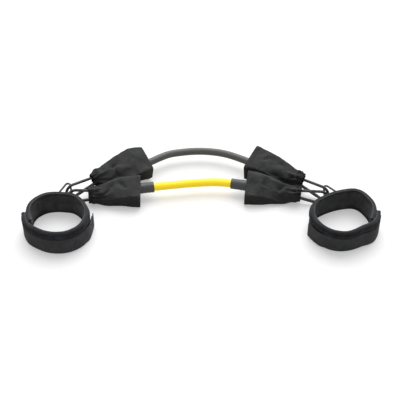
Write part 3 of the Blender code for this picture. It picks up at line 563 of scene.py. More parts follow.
OUTLINES = {
    "left": [
        (-0.2555, -0.0950), (-0.2630, -0.0700), (-0.2570, -0.0450), (-0.2440, -0.0325),
        (-0.2295, -0.0285), (-0.2140, -0.0290), (-0.1960, -0.0335), (-0.1805, -0.0500),
        (-0.1720, -0.0735), (-0.1765, -0.1000), (-0.1920, -0.1150), (-0.2110, -0.1195),
        (-0.2350, -0.1145),
    ],
    "right": [
        (0.2590, -0.0930), (0.2660, -0.0660), (0.2590, -0.0400), (0.2490, -0.0250),
        (0.2350, -0.0205), (0.2115, -0.0260), (0.1900, -0.0370), (0.1745, -0.0510),
        (0.1685, -0.0720), (0.1730, -0.0920), (0.1855, -0.1095), (0.2015, -0.1185),
        (0.2200, -0.1190), (0.2400, -0.1090),
    ],
}
RING_SEAT = 5


def outline_spot(side, t):
    """A point of a cuff's smooth closed outline, and the direction out of the cuff there."""
    outline = OUTLINES[side]
    k = math.floor(t)
    f = t - k
    a, b, c, d = (Vector((*outline[(k + m) % len(outline)], 0)) for m in (-1, 0, 1, 2))
    point = curved(a, b, c, d, f)
    slope = (c - a) + 2 * (2 * a - 5 * b + 4 * c - d) * f + 3 * (3 * b - a - 3 * c + d) * f * f
    return point + FLOOR_CENTRE, Vector((slope.y, -slope.x, 0)).normalized() * SIGNS[side]


def ring_frames(side):
    """The tab's frame on the cuff's wall, and the ring's, which is tipped about its base bar."""
    seat, outward = outline_spot(side, RING_SEAT)
    yaw = Matrix.Rotation(math.atan2(-outward.x, outward.y), 4, "Z")
    standoff = GAP + TAB_WEBBING + GAP + RING_WIRE / 2
    made = (Matrix.Translation(seat) @ yaw
            @ Matrix.Translation((0, WALL_FACE + standoff, RING_LEVEL)))
    return made, made @ Matrix.Rotation(math.radians(RING_TILT[side]), 4, "X")


def hook_place(end):
    """The hook's frame: its origin at the narrow bend's centre, X to the wide bend, Z up."""
    side = end.split("_")[1]
    share = LEG_PLACES[end]
    threaded = ring_frames(side)[1] @ Vector((-SIGNS[side] * RING_BASE / 2 * share,
                                              RING_HEIGHT * (1 - share), 0))
    turn = link_matrix(Vector((0, 0, 0)), *HOOK_TURNS[end])
    ahead, above = RING_SEATS[end]
    return Matrix.Translation(threaded - turn @ Vector((ahead + HOOK_LENGTH, 0, above))) @ turn


def aimed(origin, target):
    """A frame at the origin point whose X points at the target."""
    along = (target - origin).normalized()
    side = Vector((0, 0, 1)).cross(along).normalized()
    turn = Matrix((along, side, along.cross(side))).transposed()
    return Matrix.Translation(origin) @ turn.to_4x4()


def arc(centre, radius, start, end, count):
    """Points on an arc in the XY plane; angles in degrees."""
    angles = [math.radians(start + (end - start) * i / count) for i in range(count + 1)]
    return [Vector((centre[0] + radius * math.cos(a), centre[1] + radius * math.sin(a), 0))
            for a in angles]


def fibre(name, base, fuzz, weave_across=0.0, weave_along=0.0, ribs=0.0, bite=0.6, depth=0.00018,
          sheen=0.3, lining_or_highlight=None):
    """Woven or brushed cloth: threads in UV metres with painted shade in their dips, lint, rubbed
    places, and a band for a lining or a painted highlight.
    """
    def build(tree):
        coordinates = put(tree, "ShaderNodeTexCoord")
        marks, specks = soiled(tree, coordinates.outputs["Object"], 60.0)
        lint = noise_value(tree, coordinates.outputs["Object"], 2600.0, 2.0)
        height = scaled(tree, lint, fuzz)
        # The colour follows the marks and, on woven cloth, the weave's height: the dips between
        # threads are painted shade, and the thread tops are painted lighter.
        marks_and_weave_shade = marks
        if weave_across:
            woven = put(tree, "ShaderNodeGroup", {"node_tree": weave},
                        UV=coordinates.outputs["UV"], Across=weave_across, Along=weave_along,
                        Ribs=ribs)
            height = maths(tree, "ADD", height, woven.outputs["Height"])
            marks_and_weave_shade = maths(tree, "MULTIPLY_ADD", woven.outputs["Height"], 0.55,
                          scaled(tree, marks, 0.45))
        colour = mixed(tree, marks_and_weave_shade, tinted(base, 0.62), tinted(base, 1.30, 0.004))
        # A band across the section in another tone: the pad's lining, or a painted highlight along
        # the binding's fold.
        if lining_or_highlight:
            start, stop, tone = lining_or_highlight
            parts = put(tree, "ShaderNodeSeparateXYZ", Vector=coordinates.outputs["UV"])
            begun, over = (mapped(tree, parts.outputs["X"], at - STRIPE_BLUR, at + STRIPE_BLUR,
                                  *levels)
                           for at, levels in ((start, (0.0, 1.0)), (stop, (1.0, 0.0))))
            striped = mixed(tree, marks_and_weave_shade, tinted(tone, 0.7), tinted(tone, 1.2))
            colour = mixed(tree, scaled(tree, begun, over), colour, striped)
        colour = mixed(tree, scaled(tree, specks, 0.035), colour, DUST)
        roughness = uneven(tree, marks, 0.10, 0.80)
        return colour, roughness, height, depth, bite

    return finish(name, build, Sheen_Weight=sheen, Sheen_Roughness=0.45, Specular_IOR_Level=0.05)


STRIPE_BLUR = 0.0001

# Threads that pass over and under, in UV metres; ribs hide the crossings of a corded tape.
weave, ends_in, ends_out = node_group(
    "weave", [("UV", "v"), ("Across", "f"), ("Along", "f"), ("Ribs", "f")], [("Height", "f")])
parts = put(weave, "ShaderNodeSeparateXYZ", Vector=ends_in.outputs["UV"])
u = scaled(weave, parts.outputs["X"], ends_in.outputs["Across"])
v = scaled(weave, parts.outputs["Y"], ends_in.outputs["Along"])
warp, weft = (maths(weave, "ABSOLUTE", maths(weave, "SINE", scaled(weave, way, math.pi)))
              for way in (u, v))
cell = maths(weave, "ADD", maths(weave, "FLOOR", u), maths(weave, "FLOOR", v))
over = maths(weave, "MODULO", maths(weave, "ABSOLUTE", cell), 2.0)
crossed = put(weave, "ShaderNodeMix", {"data_type": "FLOAT"}, i0=over, i2=warp, i3=weft).outputs[0]
rounded = maths(weave, "MULTIPLY", crossed,
                maths(weave, "MULTIPLY_ADD", maths(weave, "MULTIPLY", warp, weft), 0.5, 0.5))
ribbed = put(weave, "ShaderNodeMix", {"data_type": "FLOAT"}, i0=ends_in.outputs["Ribs"],
             i2=rounded, i3=weft)
weave.links.new(ribbed.outputs[0], ends_out.inputs["Height"])

cord_braid = fibre("cord_braid", (0.050, 0.051, 0.055), 0.5, sheen=0.1)
hook_frames = {end: hook_place(end) for end in collar_frames}


def braid(station, angles, step):
    """Eight strands round a core, four wound each way."""
    turn = 2 * math.pi * station * step / BRAID_PITCH
    strands = np.maximum(np.sin(angles * 4 + turn), np.sin(angles * 4 - turn + math.pi / 2))
    return LOOP_CORD / 2 - BRAID_RELIEF + BRAID_RELIEF * strands


for end in collar_frames:
    eye = collar_frames[end] @ Vector((COLLAR_LENGTH + EYE_SETBACK, 0, 0))
    narrow = hook_frames[end].translation
    along = (narrow - eye).normalized()
    start, stop = eye + along * EYE_SLACK, narrow - along * BEND_SLACK
    length = (stop - start).length
    radius = LOOP_WIDTH / 2
    flat = arc((length - radius, 0), radius, -90, 90, 24) + arc((radius, 0), radius, 90, 270, 24)
    matrix = aimed(start, stop)
    line = [tuple(matrix @ p) for p in flat]
    line = spread(line + [line[0]], LOOP_STATIONS + 1)[:-1]
    step = float(np.linalg.norm(line[1] - line[0]))
    rows = round_rows(line, lambda i, angles, step=step: braid(i, angles, step), BRAID_SIDES,
                      tuple(matrix.to_3x3() @ Vector((0, 0, 1))), closed=True)
    loop = surface(end + "_cord_loop", rows, ring=True)
    dress(loop, cord_braid, end.split("_")[1] + "_tube_ends", "cord", end + "_loop")

# Snap hooks. Steel wire bent to a pear shape and blackened, with a flattened tongue at one end that
# carries the sprung gate on a rivet. The gate's free end closes on the wire's nose.

HOOK_WIRE = 0.0045
HOOK_NARROW_RADIUS = 0.0052
HOOK_WIDE_RADIUS = 0.0120
GATE_DIAMETER = 0.0054
GATE_PIVOT_SETBACK = 0.0080
GATE_END_SETBACK = 0.0030
HOOK_TAIL = 0.0016
HOOK_STATIONS = 130
WIRE_SIDES, BARREL_SIDES = 28, 36
NOSE_OVERRUN = 0.0016
NOSE_BEVEL = -25.0
TONGUE_PLATE = 0.0020
PIN_DIAMETER = 0.0016
PIN_GAP = 0.00015
SPRING_DIAMETER = 0.0024
SPRING_LENGTH = 0.0070
SPRING_TURNS, SPRING_STEPS = 9, 24
SPRING_WIRE = 0.0002
BARREL_ROUND = 0.0008
BARREL_WAIST, WAIST_START, WAIST_SPAN = 0.00012, 0.006, 0.002
BARREL_SPARE = 0.006
WIRE_EDGE, BARREL_EDGE = 0.00025, 0.00022
RIVET_SHOULDER = GATE_DIAMETER / 2 - 0.0003
RIVET_DOME, RIVET_RADIUS = 0.00055, 0.0012
HOOK_SLOPE = math.asin((HOOK_WIDE_RADIUS - HOOK_NARROW_RADIUS) / HOOK_LENGTH)
GATE_RUN = HOOK_LENGTH * math.cos(HOOK_SLOPE)
GATE_LENGTH = GATE_RUN - GATE_PIVOT_SETBACK - GATE_END_SETBACK


def plated(name, base, roughness_base, worn):
    """Blackened or plated steel wire: drawing lines, small knocks, bright rubbed places."""
    def build(tree):
        body = put(tree, "ShaderNodeTexCoord").outputs["Object"]
        marks, specks = soiled(tree, body, 420.0)
        drawn = noise_value(tree, body, 1500.0, 3.0, 0.6)
        colour = mixed(tree, scaled(tree, marks, worn), tinted(base), DUST)
        roughness = uneven(tree, drawn, 0.22, roughness_base)
        height = maths(tree, "ADD", drawn, specks)
        return colour, roughness, height, 0.00004, 0.5

    return finish(name, build, Metallic=1.0)


def cutter(work, matrix):
    """An object to cut with, from a bmesh that is moved to its place and freed."""
    bmesh.ops.transform(work, matrix=matrix, verts=work.verts)
    mesh = bpy.data.meshes.new("cut")
    work.to_mesh(mesh)
    work.free()
    return bpy.data.objects.new("cut", mesh)


def cutting_box(low, high, matrix):
    """A box to cut with, between two corners of a frame."""
    work = bmesh.new()
    bmesh.ops.create_cube(work, size=1.0)
    bmesh.ops.scale(work, vec=[b - a for a, b in zip(low, high)], verts=work.verts)
    bmesh.ops.translate(work, vec=[(a + b) / 2 for a, b in zip(low, high)], verts=work.verts)
    return cutter(work, matrix)


def cutting_rod(diameter, length, matrix):
    """A rod to cut with, along a frame's Z and centred on it."""
    work = bmesh.new()
    bmesh.ops.create_cone(work, cap_ends=True, segments=32, radius1=diameter / 2,
                          radius2=diameter / 2, depth=length)
    return cutter(work, matrix)


def plain_mesh(obj):
    """Applies an object's modifiers and keeps the result as its smooth-shaded mesh."""
    graph = bpy.context.evaluated_depsgraph_get()
    mesh = bpy.data.meshes.new_from_object(obj.evaluated_get(graph))
    obj.modifiers.clear()
    obj.data = mesh
    mesh.shade_smooth()
    return obj


def carved(obj, cutters, round_off):
    """Takes the cutters out of obj and rounds the new edges."""
    for tool in cutters:
        scene.collection.objects.link(tool)
        cut = obj.modifiers.new("cut", "BOOLEAN")
        cut.object = tool
        cut.operation = "DIFFERENCE"
        cut.solver = "EXACT"
    soft = obj.modifiers.new("soft", "BEVEL")
    soft.width = round_off
    soft.segments = 2
    soft.limit_method = "ANGLE"
    soft.angle_limit = math.radians(38)
    soft.use_clamp_overlap = True
    plain_mesh(obj).data.set_sharp_from_angle(angle=math.radians(40))
    for tool in cutters:
        bpy.data.objects.remove(tool)
    return obj


hook_black = plated("hook_black", (0.036, 0.037, 0.040), 0.28, 0.14)
bright_steel = plated("bright_steel", (0.60, 0.61, 0.63), 0.16, 0.25)
ring_steel = plated("ring_steel", (0.055, 0.056, 0.060), 0.26, 0.20)
slope_start = HOOK_NARROW_RADIUS * Vector((-math.sin(HOOK_SLOPE), -math.cos(HOOK_SLOPE), 0))
slope_way = Vector((math.cos(HOOK_SLOPE), -math.sin(HOOK_SLOPE), 0))
leaning = math.degrees(HOOK_SLOPE)
hook_line = ([slope_start + slope_way * (GATE_PIVOT_SETBACK + HOOK_TAIL)]
             + arc((0, 0), HOOK_NARROW_RADIUS, 270 - leaning, 90 + leaning, 28)
             + arc((HOOK_LENGTH, 0), HOOK_WIDE_RADIUS, 90 + leaning, -90 - leaning, 44)
             + [slope_start + slope_way * (GATE_RUN - GATE_END_SETBACK - NOSE_OVERRUN)])
hook_line = spread([tuple(p) for p in hook_line], HOOK_STATIONS)


def waist(x):
    """The gate's barrel is a little thinner past its slotted end."""
    share = min(max((x - WAIST_START) / WAIST_SPAN, 0), 1)
    return BARREL_WAIST * (0.5 - 0.5 * math.cos(share * math.pi))


barrel = ([(-GATE_DIAMETER / 2 + BARREL_ROUND - BARREL_ROUND * math.cos(a),
            GATE_DIAMETER / 2 - BARREL_ROUND + BARREL_ROUND * math.sin(a))
           for a in np.linspace(0.0, math.pi / 2, 6)]
          + [(x, GATE_DIAMETER / 2 - waist(x))
             for x in np.linspace(0.0, GATE_LENGTH + BARREL_SPARE, 40)])
barrel = [(barrel[0][0], 0.0)] + barrel + [(barrel[-1][0], 0.0)]
rivet_dome = [(RIVET_SHOULDER + RIVET_DOME * math.cos(a), RIVET_RADIUS * math.sin(a))
              for a in np.linspace(0.0, math.pi / 2, 7)]
rivet_profile = rivet_dome + [(RIVET_SHOULDER, PIN_DIAMETER / 2), (0.0, PIN_DIAMETER / 2)]
rivet_profile += [(-x, radius) for x, radius in reversed(rivet_profile[:-1])]

for end, place in hook_frames.items():
    upright = place @ Matrix.Rotation(math.pi / 2, 4, "X")
    pivot = (upright @ Matrix.Translation(slope_start + slope_way * GATE_PIVOT_SETBACK)
             @ Matrix.Rotation(-HOOK_SLOPE, 4, "Z"))
    across = tuple(upright.to_3x3() @ Vector((0, 0, 1)))
    line = [tuple(upright @ Vector(p)) for p in hook_line]
    rows = round_rows(line, HOOK_WIRE / 2, WIRE_SIDES, across)
    wire = surface(end + "_hook_wire", rows, caps=True)
    reach = GATE_DIAMETER / 2 * math.sqrt(2) + GAP
    tools = [cutting_box((-reach, -HOOK_WIRE, low), (HOOK_WIRE * 2, HOOK_WIRE, high), pivot)
             for low, high in ((TONGUE_PLATE / 2, HOOK_WIRE), (-HOOK_WIRE, -TONGUE_PLATE / 2))]
    tools.append(cutting_rod(PIN_DIAMETER + 2 * PIN_GAP, HOOK_WIRE * 2, pivot))
    bevel = Matrix.Rotation(math.radians(NOSE_BEVEL), 4, "Z")
    nose = pivot @ Matrix.Translation((GATE_LENGTH + GAP, 0, 0)) @ bevel
    tools.append(cutting_box((-HOOK_WIRE * 3, -HOOK_WIRE * 2, -HOOK_WIRE),
                             (0, HOOK_WIRE * 2, HOOK_WIRE), nose))
    carved(wire, tools, WIRE_EDGE)
    dress(wire, hook_black, end + "_hook", "hook", end + "_hook")

    gate = turned(end + "_gate_barrel", barrel, BARREL_SIDES, pivot, solid=True)
    slot_reach = GATE_DIAMETER / 2 + GAP
    tools = [cutting_box((-GATE_DIAMETER, -GATE_DIAMETER, -TONGUE_PLATE / 2 - GAP),
                         (slot_reach, GATE_DIAMETER, TONGUE_PLATE / 2 + GAP), pivot),
             cutting_rod(PIN_DIAMETER + 2 * PIN_GAP, GATE_DIAMETER * 2, pivot)]
    bore = slot_reach + SPRING_LENGTH + GAP
    sideways = Matrix.Rotation(math.pi / 2, 4, "Y")
    tools.append(cutting_rod(SPRING_DIAMETER + 2 * GAP, bore,
                             pivot @ Matrix.Translation((bore / 2, 0, 0)) @ sideways))
    tip = pivot @ Matrix.Translation((GATE_LENGTH, 0, 0)) @ bevel
    tools.append(cutting_box((0, -GATE_DIAMETER * 2, -GATE_DIAMETER),
                             (GATE_DIAMETER * 4, GATE_DIAMETER * 2, GATE_DIAMETER), tip))
    carved(gate, tools, BARREL_EDGE)
    dress(gate, hook_black, end + "_gate", "hook", end + "_gate")

    # The rivet: a pin with a low dome spun over at each end.
    rivet = turned(end + "_gate_rivet", rivet_profile, WIRE_SIDES, pivot @ sideways, solid=True)
    dress(rivet, bright_steel, end + "_hook", "steel", end + "_gate_pin")

    # The spring: nine turns of fine wire in the gate's bore.
    stations = SPRING_TURNS * SPRING_STEPS
    reach = SPRING_DIAMETER / 2 - SPRING_WIRE
    coil = []
    for i in range(stations):
        angle = 2 * math.pi * i / SPRING_STEPS
        ahead = (slot_reach + SPRING_WIRE
                 + (SPRING_LENGTH - 2 * SPRING_WIRE) * i / (stations - 1))
        coil.append(tuple(pivot @ Vector((ahead, reach * math.cos(angle),
                                          reach * math.sin(angle)))))
    inward = tuple(pivot.to_3x3() @ Vector((1, 0, 0)))
    spring = surface(end + "_spring_coil", round_rows(coil, SPRING_WIRE, 6, inward), caps=True)
    dress(spring, bright_steel, end + "_gate", "steel", end + "_gate_spring")

# Rings. Each cuff's triangle is bent from dark plated steel wire, its corners rounded, its ends
# butted and welded in the middle of the base bar, inside the tab.

RING_CORNER = 0.0040
RING_STATIONS = 160
WELD_SETBACK = 0.001
WELD_BEAD, WELD_SPREAD = 0.00035, 0.0011
WELD_LUMPS, LUMP_SHARE = 5, 0.4


def ring_line(steps):
    """The triangle's closed line, with an arc of the given steps at each corner."""
    half = RING_BASE / 2
    corners = [Vector((-half, 0, 0)), Vector((half, 0, 0)), Vector((0, RING_HEIGHT, 0))]
    points = []
    for i, corner in enumerate(corners):
        to_last = (corners[i - 1] - corner).normalized()
        to_next = (corners[(i + 1) % 3] - corner).normalized()
        opening = to_last.angle(to_next)
        reach = RING_CORNER / math.tan(opening / 2)
        centre = corner + (to_last + to_next).normalized() * (RING_CORNER / math.sin(opening / 2))
        first = (corner + to_last * reach - centre).normalized()
        last = (corner + to_next * reach - centre).normalized()
        points += [centre + first.slerp(last, step / steps) * RING_CORNER
                   for step in range(steps + 1)]
    return points


for side in SIGNS:
    matrix = ring_frames(side)[1]
    line = [tuple(matrix @ p) for p in ring_line(14)]
    line = spread(line + [line[0]], RING_STATIONS + 1)[:-1]
    weld = matrix @ Vector((WELD_SETBACK, 0, 0))

    def wire_wall(station, angles, line=line, weld=weld):
        """The wire's radius, with a lumpy bead at the weld."""
        away = (Vector(line[station]) - weld).length
        bead = WELD_BEAD * math.exp(-(away / WELD_SPREAD) ** 2)
        lumps = 1 + LUMP_SHARE * np.sin(angles * WELD_LUMPS)
        return np.full(len(angles), RING_WIRE / 2) + bead * lumps

    upward = tuple(matrix.to_3x3() @ Vector((0, 0, 1)))
    rows = round_rows(line, wire_wall, WIRE_SIDES, upward, closed=True)
    ring = surface(side + "_ring_wire", rows, ring=True)
    dress(ring, ring_steel, side + "_ring", "steel", side + "_ring")

# Fabric sleeves. Each is one piece of coated nylon sewn to a tube, with a turned hem round its open
# mouth and a gathered casing at the hook. Its front folds upright under a crease, its top slopes up
# to the back, and it hangs on the collar and hook inside it.

# Each sleeve's slide along its collar, the length of collar that shows and of hook that it covers,
# its bow and its mouth's shift, its ridge and foot across it, its sizes and its crease at nine even
# places from mouth to casing, and its folds: place, slant, the angles that they lie between, in
# degrees from the front, depth and width.
SLEEVES = {
    "light_left": {"slide": 0.018, "shows": 0.0215, "covers": 0.0260, "bow": 0.0,
                   "aside": -0.0030, "ridge": -0.50, "foot": -1.0,
                   "widths": (0.0510, 0.0505, 0.0480, 0.0435, 0.0390,
                              0.0325, 0.0255, 0.0185, 0.0106),
                   "heights": (0.0355, 0.0365, 0.0365, 0.0355, 0.0335,
                               0.0315, 0.0290, 0.0265, 0.0245),
                   "crease": (0.70, 0.69, 0.67, 0.65, 0.60, 0.47, 0.34, 0.20, 0.10),
                   "folds": ((0.34, 0.10, 45, 125, 0.0050, 0.0042),
                             (0.60, -0.20, 25, 125, 0.0040, 0.0040),
                             (0.78, 0.10, 25, 110, -0.0030, 0.0060),
                             (0.88, -0.08, 60, 130, 0.0024, 0.0024))},
    "light_right": {"slide": 0.007, "shows": 0.0250, "covers": 0.0150, "bow": 0.0,
                    "aside": -0.0010, "ridge": -0.40, "foot": -1.0,
                    "widths": (0.0550, 0.0530, 0.0490, 0.0435, 0.0370,
                               0.0300, 0.0230, 0.0170, 0.0106),
                    "heights": (0.0380, 0.0365, 0.0340, 0.0315, 0.0295,
                                0.0275, 0.0255, 0.0240, 0.0230),
                    "crease": (0.54, 0.58, 0.60, 0.55, 0.44, 0.22, 0.08, 0.05, 0.05),
                    "folds": ((0.34, -0.04, 50, 125, 0.0040, 0.0040),
                              (0.60, 0.06, 10, 120, 0.0048, 0.0034),
                              (0.80, -0.08, 20, 110, -0.0030, 0.0060),
                              (0.90, 0.08, 40, 130, 0.0026, 0.0022))},
    "heavy_left": {"slide": 0.003, "shows": -0.0100, "covers": 0.0105, "bow": 0.0040,
                   "aside": 0.0020, "ridge": -0.74, "foot": -0.74,
                   "widths": (0.0520, 0.0585, 0.0595, 0.0540, 0.0480,
                              0.0420, 0.0350, 0.0260, 0.0106),
                   "heights": (0.0390, 0.0430, 0.0430, 0.0380, 0.0345,
                               0.0325, 0.0300, 0.0275, 0.0250),
                   "crease": (0.70, 0.70, 0.64, 0.56, 0.46, 0.36, 0.26, 0.15, 0.08),
                   "folds": ((0.60, -0.04, 0, 128, 0.0080, 0.0056),
                             (0.24, -0.10, 70, 120, 0.0022, 0.0040),
                             (0.81, 0.00, -20, 100, -0.0060, 0.0100),
                             (0.93, -0.06, 20, 130, 0.0030, 0.0024))},
    "heavy_right": {"slide": 0.008, "shows": -0.0065, "covers": 0.0105, "bow": 0.0020,
                    "aside": 0.0, "ridge": -0.62, "foot": -0.90,
                    "widths": (0.0570, 0.0525, 0.0500, 0.0460, 0.0400,
                               0.0335, 0.0270, 0.0195, 0.0106),
                    "heights": (0.0430, 0.0395, 0.0375, 0.0350, 0.0325,
                                0.0305, 0.0285, 0.0270, 0.0260),
                    "crease": (0.70, 0.76, 0.80, 0.74, 0.58, 0.38, 0.24, 0.13, 0.08),
                    "folds": ((0.54, 0.03, 0, 118, 0.0080, 0.0058),
                              (0.28, 0.14, 60, 120, 0.0022, 0.0040),
                              (0.76, 0.04, 0, 95, -0.0040, 0.0080),
                              (0.88, 0.12, 20, 130, 0.0034, 0.0024))},
}
SQUARENESS = (5.0, 3.5, 2.6, 2.8, 3.2)
BOXED = (1.0, 1.0, 1.0, 1.0, 0.92, 0.75, 0.50, 0.20, 0.0)
FRONT_FOOT, BACK_FOOT, SHOULDER = 0.93, (-0.97, -1.0), (-0.99, 0.55)
CORNER_CUT = 0.085
FLAT_UNTIL = 0.60
HOOK_SWING = 3.0
CREASE_PINCH = 0.0008
SLEEVE_CLOTH = 0.0011
SLEEVE_ROOM = SLEEVE_CLOTH + 0.0004
SLEEVE_GAP = 0.0004
OUTWARD_EASING, INWARD_EASING, MOST_INWARD = 30, 12, 0.6
SLEEVE_AROUND = 128
SLEEVE_SHARES = np.concatenate([np.linspace(0, 0.13, 14)[:-1], np.linspace(0.13, 0.90, 52)[:-1],
                                np.linspace(0.90, 1, 13)])
PATH_STATIONS = 401
SECTION_STEPS = 720
SPOKE_REACH = 0.06
FOLD_ENDS, FOLD_POWER = 25, 1.6
BULGE_PLACE, BULGE_SHARE = 2.2, 0.15
CREASE_SPREAD = 3.5
GATHERED_FROM, GATHERED_OVER = 0.68, 0.26
PLEAT_DEPTH, BUNCH_DEPTH = 0.00150, 0.0017
RUMPLES = ((0.0013, 38, 5.0), (0.0005, 110, 3.0))
HEM = 0.0080
HEM_STEP, HEM_PINCH, CASING_PINCH = 0.00040, 0.00030, 0.00035
SEAM_SETBACK = 0.0012
SEAM_LIFT = 0.00008
CASING = 0.0055
CLOTH_SLACK = 0.0013
CLOTH_GROWTH = 0.05


def ease(x):
    """A smooth step from 0 to 1."""
    x = np.clip(x, 0.0, 1.0)
    return x * x * (3 - 2 * x)


def read_table(values, t):
    """Evenly spaced values read at t between 0 and 1."""
    return float(np.interp(t * (len(values) - 1), range(len(values)), values))


def even_ring(points, samples):
    """A closed ring of points, read again at even distances."""
    closed = np.concatenate([points, points[:1]])
    return spread(closed, samples + 1)[:-1]


def boxed_reach(crease, ridge, foot, angles):
    """The boxed section's reach at angles from the front: upright to the crease, then sloping."""
    corners = np.array([(FRONT_FOOT, foot), (1.0, 2 * crease - 1), (ridge, 1.0), SHOULDER,
                        BACK_FOOT])
    for _ in range(2):
        after = np.roll(corners, -1, axis=0)
        corners = np.stack([corners + (after - corners) * CORNER_CUT,
                            after + (corners - after) * CORNER_CUT], axis=1).reshape(-1, 2)
    shares = np.linspace(0, 1, 24, endpoint=False)[:, None]
    corners = np.concatenate([a + (b - a) * shares
                              for a, b in zip(corners, np.roll(corners, -1, axis=0))])
    return np.interp(angles, np.arctan2(corners[:, 1], corners[:, 0]), np.hypot(*corners.T),
                     period=2 * math.pi)


def sleeve_rows(end, sizes):
    """Rings of points from the sleeve's mouth to its casing, their middles, angles and creases."""
    frame_in = collar_frames[end]
    eye = frame_in @ Vector((COLLAR_LENGTH + EYE_SETBACK, 0, 0))
    mouth = frame_in @ Vector((sizes["shows"], 0, 0))
    mouth.y += sizes["aside"]
    mouth.z = sizes["heights"][0] / 2 + GAP
    bow = Vector((0, sizes["bow"], 0))
    hook = hook_frames[end]
    path = [mouth, eye.lerp(mouth, 0.3) + bow, hook.translation + bow / 2,
            hook @ Vector((sizes["covers"], 0, 0))]
    line = bowed_line(path, PATH_STATIONS)
    spots = np.stack([np.interp(SLEEVE_SHARES, np.linspace(0, 1, PATH_STATIONS), column)
                      for column in line.T], axis=1)
    along, across, up = cross_frames(spots, (0, 0, 1))
    fine = np.arange(SECTION_STEPS) * 2 * math.pi / SECTION_STEPS
    rows, fronts, creases = [], [], []
    for i, (spot, t) in enumerate(zip(spots, SLEEVE_SHARES)):
        front = fine if across[i][1] < 0 else math.pi - fine
        top = spot[2] + read_table(sizes["heights"], t) / 2
        lifted = float(ease((t - FLAT_UNTIL) / (1 - FLAT_UNTIL)))
        foot = GAP + (spot[2] - read_table(sizes["heights"], t) / 2 - GAP) * lifted
        spot[2] = (top + foot) / 2
        power = read_table(SQUARENESS, t)
        oval = (np.abs(np.cos(fine)) ** power + np.abs(np.sin(fine)) ** power) ** (-1 / power)
        box = boxed_reach(read_table(sizes["crease"], t), sizes["ridge"], sizes["foot"],
                          np.arctan2(np.sin(front), np.cos(front)))
        share = read_table(BOXED, t)
        reach = np.minimum(box * share + oval * (1 - share), oval * 1.08)
        x = reach * np.cos(fine) * read_table(sizes["widths"], t) / 2
        y = reach * np.sin(fine) * (top - foot) / 2
        ring = even_ring(spot + x[:, None] * across[i] + y[:, None] * up[i], SLEEVE_AROUND)
        rows.append(ring)
        sideways = (ring - spot) @ across[i] * (1 if across[i][1] < 0 else -1)
        fronts.append(np.degrees(np.arctan2((ring - spot) @ up[i], sideways)))
        crease_height = (2 * read_table(sizes["crease"], t) - 1) * (top - foot)
        creases.append(math.degrees(math.atan2(crease_height, read_table(sizes["widths"], t))))
    return np.array(rows), spots, np.array(fronts), np.array(creases)


def placed_meshes(pieces, moves):
    """Points and faces of several pieces, each at several places, that a sleeve has to clear."""
    points, faces = [], []
    for piece in pieces:
        for move in moves:
            base = len(points)
            points += [move @ v.co for v in piece.data.vertices]
            faces += [tuple(base + k for k in face.vertices) for face in piece.data.polygons]
    return points, faces


def joined(first, second):
    """Two lots of points and faces as one."""
    base = len(first[0])
    return first[0] + second[0], first[1] + [tuple(base + k for k in face) for face in second[1]]


def spokes_of(rows, spots):
    """Each point's distance and direction from its ring's middle."""
    spokes = rows - spots[:, None]
    reach = np.linalg.norm(spokes, axis=2)
    return reach, spokes / reach[..., None]


def neighbours(values):
    """Each value's two neighbours along the sleeve and its two round it."""
    ends = np.concatenate([values[:1], values, values[-1:]])
    return np.roll(values, 1, 1), np.roll(values, -1, 1), ends[:-2], ends[2:]


def eased_out(values, floor, times):
    """Spreads values over their neighbours, and keeps them no lower than a floor."""
    for _ in range(times):
        values = np.maximum(sum(neighbours(values)) / 4, values if floor is None else floor)
    return values


def kept_clear(rows, spots, tree):
    """Moves points out along their spokes until they and their neighbours clear what is inside."""
    reach, ways = spokes_of(rows, spots)
    wanted = np.zeros(reach.shape)
    for i, spot in enumerate(spots):
        for j, way in enumerate(ways[i]):
            hit = tree.ray_cast(Vector(spot + way * SPOKE_REACH), Vector(-way), SPOKE_REACH)
            if hit[0] is not None:
                wanted[i, j] = SPOKE_REACH - hit[3] + SLEEVE_ROOM
    wanted = np.max([wanted, *neighbours(wanted)], axis=0)
    need = np.maximum(wanted - reach, 0.0)
    return rows + ways * eased_out(need, need, OUTWARD_EASING)[..., None]


def kept_off(rows, spots, neighbour, gap):
    """Draws points in along their spokes where the sleeve would enter its neighbour."""
    reach, ways = spokes_of(rows, spots)
    pull = np.zeros(reach.shape)
    for i, spot in enumerate(spots):
        for j, way in enumerate(ways[i]):
            hit = neighbour.ray_cast(Vector(spot), Vector(way), reach[i, j] + gap)
            if hit[0] is not None:
                pull[i, j] = reach[i, j] + gap - hit[3]
    pull = np.minimum(eased_out(pull, None, INWARD_EASING), MOST_INWARD * reach)
    return rows - ways * pull[..., None]


